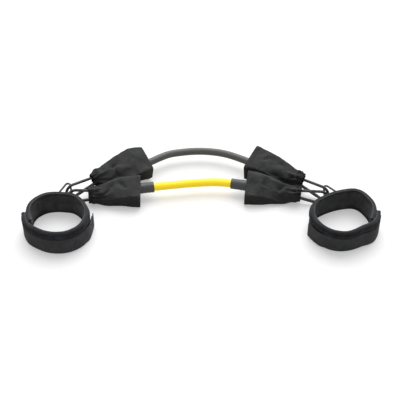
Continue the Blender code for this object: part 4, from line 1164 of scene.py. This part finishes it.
def folded(rows, fronts, creases, lengths, folds, seed):
    """Presses the sleeve's crease, folds, gathers, hem and unevenness into the smooth rings."""
    total = lengths[-1]
    out = rows - rows.mean(axis=1)[:, None]
    out /= np.linalg.norm(out, axis=2)[..., None]
    around = np.arange(rows.shape[1]) / rows.shape[1] * 2 * math.pi
    made = rows.copy()
    for i, s in enumerate(lengths):
        depth = np.zeros(rows.shape[1])
        # A fold is a valley across the sleeve, with a low bulge on its casing side.
        for share, slant, low, high, deep, wide in folds:
            away = s - total * (share + slant * (fronts[i] - (low + high) / 2) / 90)
            reach = ease((fronts[i] - low) / FOLD_ENDS) * ease((high - fronts[i]) / FOLD_ENDS)
            valley = np.exp(-np.abs(away / wide) ** FOLD_POWER)
            beside = np.exp(-((away - BULGE_PLACE * wide) / wide) ** 2)
            depth -= deep * reach * (valley - BULGE_SHARE * beside)
        # The crease is sharpest on the boxed part, past the first centimetre.
        sharp = read_table(BOXED, s / total) * (0.4 + 0.6 * float(ease(s / 0.010)))
        off_crease = fronts[i] - creases[i]
        depth += CREASE_PINCH * sharp * np.exp(-(off_crease / CREASE_SPREAD) ** 2)
        # The casing gathers the cloth in pleats of two sizes, which bunch up before it.
        gathered = float(ease((s / total - GATHERED_FROM) / GATHERED_OVER))
        pleats = np.sin(around * 9 + seed * 1.7 + 0.9 * np.sin(around * 2 + seed) + s * 25)
        pleats += 0.7 * np.sin(around * 14 + seed * 2.3 - s * 60)
        depth += PLEAT_DEPTH * gathered * pleats
        bunched = math.sin((s / total - 0.60) * 24) * (1 - float(ease((s / total - 0.9) / 0.08)))
        depth += BUNCH_DEPTH * gathered * bunched
        # Cloth past the hem is looser, and rumples more.
        loose = 0.45 + 0.55 * float(ease(s / 0.016))
        for rise, rate, shift in RUMPLES:
            depth += [rise * loose * noise.noise(Vector(tuple(p * rate + seed * shift)))
                      for p in rows[i]]
        # The turned hem is thicker, and both seams draw the cloth in.
        depth += HEM_STEP * (1 - float(ease((s - HEM) / 0.0015)))
        depth -= HEM_PINCH * math.exp(-((s - HEM + SEAM_SETBACK) / 0.0006) ** 2)
        depth -= CASING_PINCH * math.exp(-((s - total + CASING) / 0.0007) ** 2)
        made[i] = rows[i] + out[i] * depth[:, None]
    return made


NO_REACH = 1e-9


def settle(obj, hold, cap, grow, pressure=0.0, frames=20):
    """Lets cloth find its own folds: hold is each point's pinned share, and cap its reach."""
    rest = np.array([v.co for v in obj.data.vertices])
    pins = obj.vertex_groups.new(name="pins")
    for index, weight in enumerate(hold):
        if weight > 0:
            pins.add([index], float(weight), "REPLACE")
    cloth = obj.modifiers.new("settle", "CLOTH")
    cloth.settings.quality = 7
    cloth.settings.mass = 0.15
    cloth.settings.tension_stiffness = 30
    cloth.settings.compression_stiffness = 30
    cloth.settings.shear_stiffness = 12
    cloth.settings.bending_stiffness = 0.6
    cloth.settings.shrink_min = -grow
    cloth.settings.vertex_group_mass = "pins"
    cloth.settings.effector_weights.gravity = 0.0
    cloth.settings.use_pressure = pressure > 0
    cloth.settings.uniform_pressure_force = pressure
    cloth.collision_settings.use_collision = False
    cloth.point_cache.frame_start = 1
    cloth.point_cache.frame_end = frames
    for number in range(1, frames + 1):
        scene.frame_set(number)
    settled = obj.evaluated_get(bpy.context.evaluated_depsgraph_get()).data
    moved = np.array([v.co for v in settled.vertices]) - rest
    scene.frame_set(1)
    obj.modifiers.clear()
    obj.vertex_groups.clear()
    reach = np.linalg.norm(moved, axis=1)
    allowed = np.broadcast_to(np.asarray(cap, float), reach.shape)
    kept = allowed * np.tanh(reach / np.maximum(allowed, NO_REACH)) / np.maximum(reach, NO_REACH)
    moved *= np.where(reach > NO_REACH, kept, 0)[:, None]
    obj.data.vertices.foreach_set("co", (rest + moved).ravel())
    obj.data.update()
    return rest + moved


def modified(obj, *steps):
    """Applies finishing modifiers, given as (kind, settings)."""
    for kind, settings in steps:
        made = obj.modifiers.new(kind.lower(), kind)
        for key, value in settings.items():
            setattr(made, key, value)
    return plain_mesh(obj)


def growing_tree(name, *numbers):
    """A geometry tree with a line, named numbers and a material; returns it with its inputs."""
    tree = bpy.data.node_groups.new(name, "GeometryNodeTree")
    sockets = [("INPUT", "Line", "NodeSocketGeometry")]
    sockets += [("INPUT", label, "NodeSocketFloat") for label in numbers]
    sockets += [("INPUT", "Material", "NodeSocketMaterial"),
                ("OUTPUT", "Grown", "NodeSocketGeometry")]
    for way, label, kind in sockets:
        tree.interface.new_socket(name=label, in_out=way, socket_type=kind)
    return tree, put(tree, "NodeGroupInput").outputs


def realized(tree, geometry, material):
    """Ends a geometry tree with Realize Instances and Set Material."""
    real = put(tree, "GeometryNodeRealizeInstances", Geometry=geometry)
    coloured = put(tree, "GeometryNodeSetMaterial", Geometry=real.outputs[0], Material=material)
    put(tree, "NodeGroupOutput", Grown=coloured.outputs[0])


# One stitch after another along a line: small rods with round ends, sunk a little in the cloth.
stitch_tree, given = growing_tree("stitches", "Pitch", "Length", "Thread")
laid = put(stitch_tree, "GeometryNodeMeshToCurve", Mesh=given["Line"])
spaced = put(stitch_tree, "GeometryNodeResampleCurve", {"mode": "LENGTH"}, Curve=laid.outputs[0],
             Length=given["Pitch"])
thread = put(stitch_tree, "GeometryNodeMeshUVSphere", Segments=6, Rings=5, Radius=1.0)
size = put(stitch_tree, "ShaderNodeCombineXYZ", X=given["Thread"], Y=given["Thread"],
           Z=scaled(stitch_tree, given["Length"], 0.5))
tangent = put(stitch_tree, "GeometryNodeInputTangent")
facing = put(stitch_tree, "FunctionNodeAlignRotationToVector", {"axis": "Z"},
             Vector=tangent.outputs[0])
sewn = put(stitch_tree, "GeometryNodeInstanceOnPoints", Points=spaced.outputs[0],
           Instance=thread.outputs[0], Rotation=facing.outputs[0], Scale=size.outputs[0])
realized(stitch_tree, sewn.outputs[0], given["Material"])


def grown(name, tree_used, mesh, **values):
    """Runs a geometry tree on a mesh, with its inputs set by their sockets' identifiers."""
    obj = bpy.data.objects.new(name, mesh)
    scene.collection.objects.link(obj)
    grower = obj.modifiers.new("grow", "NODES")
    grower.node_group = tree_used
    for item in tree_used.interface.items_tree:
        if item.in_out == "INPUT" and item.name in values:
            grower[item.identifier] = values[item.name]
    bpy.context.view_layer.update()
    return plain_mesh(obj)


def line_mesh(name, lines):
    """One mesh of edges that follows each of the given lines of points."""
    points, edges = [], []
    for line in lines:
        edges += [(len(points) + i, len(points) + i + 1) for i in range(len(line) - 1)]
        points += [tuple(p) for p in line]
    mesh = bpy.data.meshes.new(name)
    mesh.from_pydata(points, edges, [])
    return mesh


def sew(name, lines, body, material, pitch=0.0030, length=0.0023, thread=0.00022):
    """Stitches along lines, as one piece on a body."""
    made = grown(name, stitch_tree, line_mesh(name, lines), Pitch=pitch, Length=length,
                 Thread=thread, Material=material)
    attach(made, body)
    return made


sleeve_nylon = fibre("sleeve_nylon", (0.058, 0.0585, 0.0600), 0.35, 1500.0, 1500.0, bite=0.5,
                     depth=0.00012, sheen=0.03)
thread_dark = fibre("thread_dark", (0.070, 0.071, 0.074), 0.3, sheen=0.1)
thread_grey = fibre("thread_grey", (0.150, 0.152, 0.158), 0.3, sheen=0.1)
thread_light = fibre("thread_light", (0.200, 0.203, 0.210), 0.3, sheen=0.1)

for number, (end, sizes) in enumerate(SLEEVES.items()):
    smooth_rows, spots, fronts, creases = sleeve_rows(end, sizes)
    lengths = np.concatenate([[0.0], np.cumsum(np.linalg.norm(np.diff(spots, axis=0), axis=1))])
    total = lengths[-1]
    # What the sleeve hides is cleared at four places of its slide, and three of the hook's swing.
    slide_way = collar_frames[end].to_3x3()
    slides = [Matrix.Translation(slide_way @ Vector((sizes["slide"] * share, 0, 0)))
              for share in (0, 0.35, 0.7, 1)]
    hook = hook_frames[end]
    swings = [slide @ hook @ Matrix.Rotation(math.radians(angle), 4, "Y") @ hook.inverted()
              for slide in slides[::3] for angle in (-HOOK_SWING, 0, HOOK_SWING)]
    held, swung = ([bpy.data.objects[end + part] for part in parts]
                   for parts in (("_collar_shell", "_plug", "_cord_loop"),
                                 ("_hook_wire", "_gate_barrel", "_gate_rivet")))
    inner = BVHTree.FromPolygons(*joined(placed_meshes(held, slides), placed_meshes(swung, swings)))
    rows = folded(smooth_rows, fronts, creases, lengths, sizes["folds"], number + 1)
    beside = bpy.data.objects.get(end.replace("heavy", "light") + "_sleeve_cloth")
    if beside:
        neighbour = BVHTree.FromPolygons(*placed_meshes([beside], [Matrix()]))
        rows = kept_off(rows, spots, neighbour, SLEEVE_GAP)
    rows = kept_clear(rows, spots, inner)
    sleeve = surface(end + "_sleeve_cloth", rows)
    hold = np.zeros(rows.shape[:2])
    hold[:2] = hold[-2:] = 1.0
    hold[2:4] = hold[-4:-2] = 0.3
    cap = np.full(rows.shape[:2], CLOTH_SLACK)
    settled = settle(sleeve, hold.ravel(), cap.ravel(), CLOTH_GROWTH).reshape(rows.shape)
    if beside:
        settled = kept_off(settled, spots, neighbour, SLEEVE_GAP)
    settled = kept_clear(settled, spots, inner)
    settled[..., 2] = np.maximum(settled[..., 2], GAP + SLEEVE_CLOTH)
    sleeve.data.vertices.foreach_set("co", settled.ravel())
    modified(sleeve, ("SUBSURF", {"levels": 1, "render_levels": 1}),
             ("SOLIDIFY", {"thickness": SLEEVE_CLOTH, "offset": -1.0}))
    dress(sleeve, sleeve_nylon, end + "_sleeve", "sleeve", end + "_sleeve")
    hem_row = int(np.searchsorted(lengths, HEM - SEAM_SETBACK))
    casing_row = int(np.searchsorted(lengths, total - CASING))
    out = settled - settled.mean(axis=1)[:, None]
    out /= np.linalg.norm(out, axis=2)[..., None]
    seams = [np.concatenate([line, line[:1]]) for line in
             (settled[row] + out[row] * SEAM_LIFT for row in (hem_row, casing_row))]
    stitches = sew(end + "_sleeve_stitches", seams, end + "_sleeve", thread_dark)

# Cuff pads. A strip of foam laminated between brushed nylon and a smooth lining, bent round the
# ankle so that its ends overlap at the outer side. It swells above the strap that presses it.

CUFF_HEIGHT = 0.0420
PAD_THICKNESS = 0.0060
PAD_EDGE = 0.0040
BINDING_TAPE = 0.0008
BINDING_DEPTH = 0.0040
BINDING_HALF = PAD_EDGE / 2 + GAP + BINDING_TAPE
LAYER_PITCH = 2 * BINDING_HALF + GAP
OVERLAP_SPAN = 0.75
FREE_SETBACK, INNER_SETBACK, FREE_SPAN = 0.3, 0.1, 0.7
STEP_START = 0.95
STEP_SPAN = 0.8
STRAP_WIDTH = 0.0270
STRAP_BASE = 0.0012
PAD_STATIONS = 260
PAD_ROUNDING = 0.004
PAD_SWELL, PAD_CROWN = 0.0017, 0.0012
SWELL_BELOW, SWELL_ABOVE, SWELL_SPAN = 0.0005, 0.0006, 0.003
PAD_SLACK, PRESSED_SLACK = 0.0009, 0.0001
PAD_GROWTH, PAD_PRESSURE = 0.025, 1.5
HELD_EDGE = 3
OUTLINE_STEPS = 24
CUFF_CENTRES = {"left": (-0.2175, -0.0740), "right": (0.2175, -0.0700)}
LEAN_START = 0.0160
# How far the foot and the rim of each wall lie off the pattern, in mm, every 45 degrees from +X.
CUFF_LEANS = {
    "left": (((0, 0), (0, 0), (0, 0), (1.5, -1.0), (0, 0), (-0.5, -1.5), (0, -2.6), (0, -1.5)),
             ((0, -1.0), (0, -1.5), (0, -3.0), (3.0, -2.5), (-1.0, -1.0), (-2.0, -2.5),
              (0, -4.5), (-0.8, -3.6))),
    "right": (((1.5, 0), (0, 0), (0, 0), (0, 0), (1.5, 0), (2.5, 1.8), (0, 3.2), (0, 0)),
              ((2.0, -0.8), (0, -2.0), (0, -3.0), (2.5, -2.5), (2.6, -1.0), (0, -1.0),
               (0, -2.8), (0, -1.0))),
}
PAD_LOW = BINDING_TAPE + GAP
PAD_HIGH = CUFF_HEIGHT - BINDING_TAPE - GAP


def layer_shift(t, count):
    """The inner layer lies half a pitch in at the pad's start, the outer one half a pitch out."""
    if t < OVERLAP_SPAN + 1:
        return -LAYER_PITCH / 2 * float(ease(OVERLAP_SPAN + 1 - t))
    if t > count - 1:
        return LAYER_PITCH / 2 * float(ease(t - count + 1))
    return 0.0


def outer_shift(t, count):
    """The outermost layer's mid-line, with a soft step at the pad's outer end."""
    t %= count
    if t > STEP_START:
        share = float(ease((t - STEP_START) / STEP_SPAN))
        return layer_shift(t, count) * share + LAYER_PITCH / 2 * (1 - share)
    return layer_shift(t + count, count)


def leaned(obj, side):
    """Leans a cuff's soft wall: each level is moved by the share of the way from foot to rim."""
    centre = np.array(CUFF_CENTRES[side]) + np.array(FLOOR_CENTRE)[:2]
    points = np.array([v.co for v in obj.data.vertices])
    angles = np.degrees(np.arctan2(points[:, 1] - centre[1], points[:, 0] - centre[0])) % 360
    share = ease((points[:, 2] - LEAN_START) / (CUFF_HEIGHT - LEAN_START))
    for axis in (0, 1):
        foot, rim = (np.interp(angles, np.arange(len(table)) * 45.0,
                               [step[axis] for step in table], period=360)
                     for table in CUFF_LEANS[side])
        points[:, axis] += (foot * (1 - share) + rim * share) / 1000
    obj.data.vertices.foreach_set("co", points.ravel())
    obj.data.update()
    return obj


def pad_line(side, samples):
    """Points of the pad's mid-line with the outline place of each as a fourth number."""
    count = len(OUTLINES[side])
    fine = []
    steps = int((count + OVERLAP_SPAN) * OUTLINE_STEPS)
    for i in range(steps + 1):
        t = (count + OVERLAP_SPAN) * i / steps
        point, outward = outline_spot(side, t)
        fine.append((*(point + outward * layer_shift(t, count)), t))
    return spread(fine, samples)


def outward_along(line, side):
    """The level direction out of the cuff at each point of a line."""
    along = np.gradient(line[:, :3], axis=0)
    outward = np.stack([along[:, 1], -along[:, 0], np.zeros(len(line))], axis=1) * SIGNS[side]
    return outward / np.linalg.norm(outward, axis=1)[:, None]


def pad_section(count, t):
    """The pad's (outward, up) section: edges held by the binding, free faces crowned."""
    outer_free = float(ease((t - OVERLAP_SPAN - FREE_SETBACK) / FREE_SPAN))
    inner_free = float(ease((count - INNER_SETBACK - t) / FREE_SPAN))
    half = PAD_THICKNESS / 2
    low, high = PAD_LOW + BINDING_DEPTH, PAD_HIGH - BINDING_DEPTH
    levels = np.concatenate([np.linspace(PAD_LOW, low, 3)[:-1], np.linspace(low, high, 21),
                             np.linspace(high, PAD_HIGH, 3)[1:]])
    held = PAD_EDGE / 2
    rise = ease((levels - low) / PAD_ROUNDING) * ease((high - levels) / PAD_ROUNDING)
    above = ease((levels - STRAP_BASE - STRAP_WIDTH + SWELL_BELOW) / SWELL_SPAN)
    above *= ease((high + SWELL_ABOVE - levels) / PAD_ROUNDING)
    crown = np.sin((levels - low) / (high - low) * math.pi)
    outer = held + (half - held) * rise + PAD_SWELL * above * outer_free
    inner = held + (half - held) * rise + PAD_CROWN * rise * crown * inner_free
    return np.concatenate([np.stack([outer, levels], 1), np.stack([-inner[::-1], levels[::-1]], 1)])


# The lining is the part of the section's girth that faces the ankle.
LINING = (0.0415, 0.0900)
pad_foam = fibre("pad_foam", (0.043, 0.044, 0.047), 1.1, sheen=0.08, bite=0.7, depth=0.00025,
                 lining_or_highlight=(*LINING, (0.118, 0.119, 0.124)))
for side in SIGNS:
    line = pad_line(side, PAD_STATIONS)
    outward = outward_along(line, side)
    count = len(OUTLINES[side])
    rows = []
    for point, out in zip(line, outward):
        section = pad_section(count, point[3])
        rows.append(point[:3] + section[:, :1] * out + section[:, 1:] * np.array([0, 0, 1.0]))
    rows = np.array(rows)
    half = rows.shape[1] // 2
    hold = np.zeros(rows.shape[:2])
    hold[:, :HELD_EDGE] = hold[:, half - HELD_EDGE:half + HELD_EDGE] = hold[:, -HELD_EDGE:] = 1.0
    hold[:2] = hold[-2:] = 1.0
    cap = np.full(rows.shape[:2], PAD_SLACK)
    strapped = rows[:, :, 2] < STRAP_BASE + STRAP_WIDTH + SWELL_ABOVE
    cap[:, :half][strapped[:, :half]] = PRESSED_SLACK
    overlapped = ((line[:, 3] < OVERLAP_SPAN + FREE_SETBACK)
                  | (line[:, 3] > count - FREE_SETBACK))
    cap[overlapped] = PRESSED_SLACK
    pad = surface(side + "_pad_foam", rows, caps=True)
    settle(pad, hold.ravel(), cap.ravel(), PAD_GROWTH, pressure=PAD_PRESSURE)
    modified(leaned(pad, side), ("SUBSURF", {"levels": 1, "render_levels": 1}))
    dress(pad, pad_foam, side + "_cuff", "pad", side + "_cuff_pad")

# Bindings. Grey grosgrain tape is folded over each edge of the pad and sewn through, a little way
# in from its own edge.

BINDING_STATIONS = 420
BINDING_ROUND = 0.0026
BINDING_RIPPLE = 0.00016
SEAM_INSET = 0.0011
SEAM_PROUD = 0.00010
# The span of the tape's section that is painted lighter: a painted highlight on its rounded fold,
# where light from above catches the rim.
PAINTED_RIM_HIGHLIGHT = (0.0030, 0.0042)
grosgrain = fibre("grosgrain", (0.046, 0.047, 0.050), 0.25, 700.0, 1150.0, 0.85, 0.6, 0.00018,
                  sheen=0.12, lining_or_highlight=(*PAINTED_RIM_HIGHLIGHT, (0.125, 0.127, 0.132)))


def binding_section():
    """The folded tape, rounded over the pad's edge, as (outward, up) pairs from the bottom edge."""
    outer = BINDING_HALF
    inner = outer - BINDING_TAPE
    turns = np.linspace(math.pi, 0.0, 13)
    over = [(outer * math.cos(a), BINDING_ROUND - BINDING_ROUND * math.sin(a)) for a in turns]
    under = [(inner * math.cos(a), BINDING_ROUND - (BINDING_ROUND - BINDING_TAPE) * math.sin(a))
             for a in turns]
    sides = [(-outer, v) for v in np.linspace(BINDING_DEPTH, BINDING_ROUND, 4)[:-1]]
    hidden = [(-inner, v) for u, v in sides]
    section = sides + over + [(-u, v) for u, v in reversed(sides)]
    section += [(-u, v) for u, v in hidden] + list(reversed(under)) + list(reversed(hidden))
    return section


for side in SIGNS:
    line = pad_line(side, BINDING_STATIONS)
    outward = outward_along(line, side)
    for edge in ("bottom", "top"):
        rows = []
        for point, out in zip(line, outward):
            ripple = noise.noise(Vector(tuple(point[:3] * 90)) + Vector((0, 0, 4.0)))
            ripple *= BINDING_RIPPLE
            section = [(u + ripple * (1 if v > 0.002 else 0.4), v) for u, v in binding_section()]
            level = [v if edge == "bottom" else CUFF_HEIGHT - v for u, v in section]
            rows.append([point[:3] + u * out + np.array([0, 0, z])
                         for (u, v), z in zip(section, level)])
        name = side + "_" + edge + "_binding"
        tape = surface(name + "_tape", rows, caps=True)
        dress(leaned(tape, side), grosgrain, side + "_cuff", "binding", name)
        level = BINDING_DEPTH - SEAM_INSET
        if edge == "top":
            level = CUFF_HEIGHT - BINDING_DEPTH + SEAM_INSET
        seams = [line[3:-3, :3] + outward[3:-3] * (face * (BINDING_HALF + SEAM_PROUD))
                 + np.array([0, 0, level]) for face in (-1, 1)]
        stitches = sew(name + "_stitches", seams, side + "_cuff", thread_grey,
                       0.0028, 0.0021, 0.00018)
        leaned(stitches, side)

# Straps. Nylon webbing, sewn to the back of the pad, runs round the front of the cuff, and its free
# tail folds back on itself and closes on a patch of loop pile.

STRAP_THICKNESS = 0.0016
STRAP_OFFSET = WALL_FACE + GAP + STRAP_THICKNESS / 2
# Where on the outline each strap is sewn on, turns into its tail and ends, and the tip's lift.
STRAPS = {"left": {"places": (3.8, -3.9, -5.3), "lift": 0.0054},
          "right": {"places": (3.6, -3.7, -5.4), "lift": 0.0036}}
STRAP_STATIONS, TAIL_STATIONS, PATCH_STATIONS = 240, 80, 60
STRAP_WAVE, TAIL_WAVE = 0.00012, 0.0001
BOX_START, BOX_END, BOX_MARGIN, BOX_STEPS = 0.0090, 0.0230, 0.0040, 24
PATCH_THICKNESS = 0.0009
PATCH_MARGIN = 0.0030
TAIL_ROOT_LENGTH = 0.0200
TAIL_REST, TAIL_RISE = 0.0024, 2.8
FLARE_START, FLARE_POWER = 0.50, 1.7
LOOP_PATCH_RISE = 0.0015
LOOP_PATCH_BASE = BINDING_TAPE + GAP + BINDING_DEPTH + LOOP_PATCH_RISE
BAND_ROWS = 12
SELVEDGE_START, SELVEDGE_SPAN, SELVEDGE_LEAST = 0.93, 0.07, 0.02
DENSE = 400
BRISTLE = 0.00011
BRISTLE_ROWS = 46
BRISTLE_MARGIN = 0.0006
BRISTLE_SHIFT, BRISTLE_TURN = 0.4, 0.9
# A hook's and a loop's points, as (along the face, out of it), and how far apart they stand.
HOOKED = ((0.0, 0.0001), (0.0, -0.00035), (0.00012, -0.00050), (0.00030, -0.00040))
LOOPED = ((0.0, -0.0001), (-0.00012, 0.00030), (0.00010, 0.00050), (0.00034, 0.00032),
          (0.00022, -0.0001))
HOOK_PITCH, LOOP_PITCH = 0.00075, 0.00065


def outer_line(side, start, end, offset, samples):
    """A line outside the pad; offset gives its distance from the outermost layer at each place."""
    fine = []
    steps = int(abs(end - start) * OUTLINE_STEPS) + 8
    for i in range(steps + 1):
        t = start + (end - start) * i / steps
        point, outward = outline_spot(side, t)
        shift = outer_shift(t, len(OUTLINES[side])) + offset(t)
        fine.append(tuple(point + outward * shift))
    return spread(fine, samples)


def trimmed(line, from_start, from_end):
    """A line with a length cut off each end."""
    dense = spread(line, DENSE)
    steps = DENSE - 1
    length = float(np.linalg.norm(np.diff(dense, axis=0), axis=1).sum())
    first = round(steps * from_start / length)
    last = steps - max(round(steps * from_end / length), 1 if from_end else 0)
    return dense[first:last + 1]


def band(name, line, side, inner, outer, low, high, wave=0.0):
    """A band standing on its edge, with rounded selvedges and a lazy wave along it."""
    outward = outward_along(line, side)
    levels = np.linspace(low, high, BAND_ROWS)
    half = (outer - inner) / 2
    middle = (outer + inner) / 2
    across = (levels - low) / (high - low) * 2 - 1
    fallen = np.clip((np.abs(across) - SELVEDGE_START) / SELVEDGE_SPAN, 0, 1)
    rim = half * np.sqrt(np.clip(1 - fallen ** 2, SELVEDGE_LEAST, 1))
    rows = []
    for point, out in zip(line, outward):
        drift = wave * noise.noise(Vector(tuple(point[:3] * 45)) + Vector((0, 0, 9.0)))
        outside, inside = ([point[:3] + out * (middle + face * r + drift) + np.array([0, 0, z])
                            for r, z in zip(rim, levels)] for face in (1, -1))
        rows.append(outside + inside[::-1])
    return surface(name, rows, caps=True)


# One thin bristle after another: each short line becomes a wire of the given thickness.
pile_tree, given = growing_tree("bristles", "Thread")
laid = put(pile_tree, "GeometryNodeMeshToCurve", Mesh=given["Line"])
profile = put(pile_tree, "GeometryNodeCurvePrimitiveCircle", Resolution=3, Radius=given["Thread"])
drawn = put(pile_tree, "GeometryNodeCurveToMesh", Curve=laid.outputs[0],
            Profile_Curve=profile.outputs[0], Fill_Caps=True)
realized(pile_tree, drawn.outputs[0], given["Material"])


def bristled(name, line, side, offset, low, high, shape, step, body, material, seed):
    """Rows of bristles over a band's face, each of one shape and turned a little by chance."""
    chance = np.random.default_rng(seed)
    outward = outward_along(line, side)
    lines = []
    for k in range(1, len(line) - 1):
        along = np.array(line[k + 1]) - np.array(line[k - 1])
        along /= np.linalg.norm(along)
        for level in np.arange(low, high, step):
            shift = chance.uniform(-BRISTLE_SHIFT, BRISTLE_SHIFT, 2) * step
            turn = chance.uniform(-BRISTLE_TURN, BRISTLE_TURN)
            way = along * math.cos(turn) + np.array([0, 0, math.sin(turn)])
            foot = (line[k] + along * shift[0] + outward[k] * offset
                    + np.array([0, 0, level + shift[1]]))
            lines.append([foot + way * across + outward[k] * out for across, out in shape])
    made = grown(name, pile_tree, line_mesh(name, lines), Thread=BRISTLE / 2, Material=material)
    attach(made, body)
    return leaned(made, side)


webbing = fibre("webbing", (0.098, 0.099, 0.104), 0.3, 620.0, 1250.0, 0.35, 0.7, 0.00022, 0.10)
hook_pile = fibre("hook_pile", (0.050, 0.051, 0.054), 0.6, sheen=0.1)
loop_pile = fibre("loop_pile", (0.060, 0.061, 0.065), 1.6, bite=0.9, depth=0.0005, sheen=0.5)

for side in SIGNS:
    sewn_at, root, tip = STRAPS[side]["places"]
    lift = STRAPS[side]["lift"]
    half = STRAP_THICKNESS / 2
    low, high = STRAP_BASE, STRAP_BASE + STRAP_WIDTH

    def tail_offset(t):
        """The tail stands off its patch, and flares towards its tip."""
        share = (root - t) / (root - tip)
        flare = max(0.0, (share - FLARE_START) / (1 - FLARE_START)) ** FLARE_POWER
        return (STRAP_OFFSET + TAIL_REST * float(ease(share * TAIL_RISE))
                + (lift - TAIL_REST) * flare)

    line = outer_line(side, root, sewn_at, lambda t: STRAP_OFFSET, STRAP_STATIONS)
    strap = band(side + "_strap_webbing", line, side, -half, half, low, high, STRAP_WAVE)
    dress(leaned(strap, side), webbing, side + "_cuff", "webbing", side + "_strap")

    # A box with a cross in it, sewn through the strap where its tail begins.
    whole = float(np.linalg.norm(np.diff(line, axis=0), axis=1).sum())
    place = spread(trimmed(line, BOX_START, whole - BOX_END), BOX_STEPS)
    face = place + outward_along(place, side) * (half + 0.00015)
    levels = np.linspace(low + BOX_MARGIN, high - BOX_MARGIN, BOX_STEPS)
    rising = np.array([[0, 0, level] for level in levels])
    seams = [face + rising[0], face + rising[-1], face[0] + rising, face[-1] + rising,
             face + rising, face + rising[::-1]]
    stitches = sew(side + "_strap_stitches", seams, side + "_cuff", thread_light,
                   0.0026, 0.0021, 0.00026)
    leaned(stitches, side)

    tail = trimmed(outer_line(side, tip, root, tail_offset, 120), 0.0, GAP)
    tail_line = spread(tail, TAIL_STATIONS)
    loose = band(side + "_strap_tail_webbing", tail_line, side, -half, half, low, high, TAIL_WAVE)
    dress(leaned(loose, side), webbing, side + "_strap_tail", "webbing", side + "_strap_tail")
    patch_out = -half - GAP
    patch_line = spread(trimmed(tail, PATCH_MARGIN, TAIL_ROOT_LENGTH), PATCH_STATIONS)
    backing = band(side + "_hook_patch_pile", patch_line, side, patch_out - PATCH_THICKNESS,
                   patch_out, low + PATCH_MARGIN, high - PATCH_MARGIN)
    dress(leaned(backing, side), hook_pile, side + "_strap_tail", "patch", side + "_hook_patch")
    top = high - PATCH_MARGIN - BRISTLE_MARGIN
    bristled(side + "_hook_patch_hooks", spread(patch_line, BRISTLE_ROWS), side,
             patch_out - PATCH_THICKNESS, low + PATCH_MARGIN + BRISTLE_MARGIN, top,
             HOOKED, HOOK_PITCH, side + "_strap_tail", hook_pile, 3)

    under = trimmed(outer_line(side, tip, root, lambda t: 0.0, 60), PATCH_MARGIN, TAIL_ROOT_LENGTH)
    under = spread(under, PATCH_STATIONS)
    loop_in = PAD_THICKNESS / 2 + GAP
    pile = band(side + "_loop_patch_pile", under, side, loop_in, loop_in + PATCH_THICKNESS,
                LOOP_PATCH_BASE, high - PATCH_MARGIN)
    dress(leaned(pile, side), loop_pile, side + "_cuff", "patch", side + "_loop_patch")
    bristled(side + "_loop_patch_loops", spread(under, BRISTLE_ROWS), side,
             loop_in + PATCH_THICKNESS, LOOP_PATCH_BASE + BRISTLE_MARGIN, top,
             LOOPED, LOOP_PITCH, side + "_cuff", loop_pile, 4)

# Ring tabs. A short piece of the same webbing is folded round the ring's base bar and sewn to the
# wall of the cuff below it.

TAB_WIDTH = 0.0170
TAB_LENGTH = 0.0150
TAB_FACE, TAB_SELVEDGE = 0.46, 0.25
TAB_MARGIN = 0.0025
for side in SIGNS:
    matrix = ring_frames(side)[0]
    eye = RING_WIRE / 2 + GAP
    outer = eye + TAB_WEBBING
    middle_line = ([Vector((1.5 * TAB_WEBBING - outer, -z, 0))
                    for z in np.linspace(TAB_LENGTH, outer, 10)]
                   + arc((0, 0), eye + TAB_WEBBING / 2, -75, 180, 32)
                   + [Vector((0.5 * TAB_WEBBING - outer, -z, 0))
                      for z in np.linspace(outer * 0.4, TAB_LENGTH, 14)])
    # Half the tab's thickness at each place across it, thinner at its selvedges.
    section = [(u * TAB_WIDTH / 2, TAB_FACE if abs(u) < 0.97 else TAB_SELVEDGE)
               for u in np.linspace(-1, 1, 12)]
    rows = []
    for i, point in enumerate(middle_line):
        before, after = middle_line[max(i - 1, 0)], middle_line[min(i + 1, len(middle_line) - 1)]
        ahead = (after - before).normalized()
        away = Vector((-ahead.y, ahead.x, 0)) * TAB_WEBBING
        row = [(x, point + away * k) for x, k in section]
        row += [(x, point - away * k) for x, k in reversed(section)]
        rows.append([tuple(matrix @ Vector((x, spot.x, spot.y))) for x, spot in row])
    tab = surface(side + "_ring_tab_webbing", rows, caps=True)
    dress(tab, webbing, side + "_cuff", "webbing", side + "_ring_tab")
    wide, high, low = TAB_WIDTH / 2 - TAB_MARGIN, -outer - TAB_WEBBING, 0.0020 - TAB_LENGTH
    face = 2 * TAB_WEBBING - outer + SEAM_PROUD
    corners = [tuple(matrix @ Vector((x, face, z)))
               for x, z in ((-wide, low), (wide, low), (wide, high), (-wide, high))]
    seams = [spread([corners[i], corners[j]], 16)
             for i, j in ((0, 1), (1, 2), (2, 3), (3, 0), (0, 2), (1, 3))]
    sew(side + "_ring_tab_stitches", seams, side + "_cuff", thread_grey,
        0.0024, 0.0018, 0.00018)
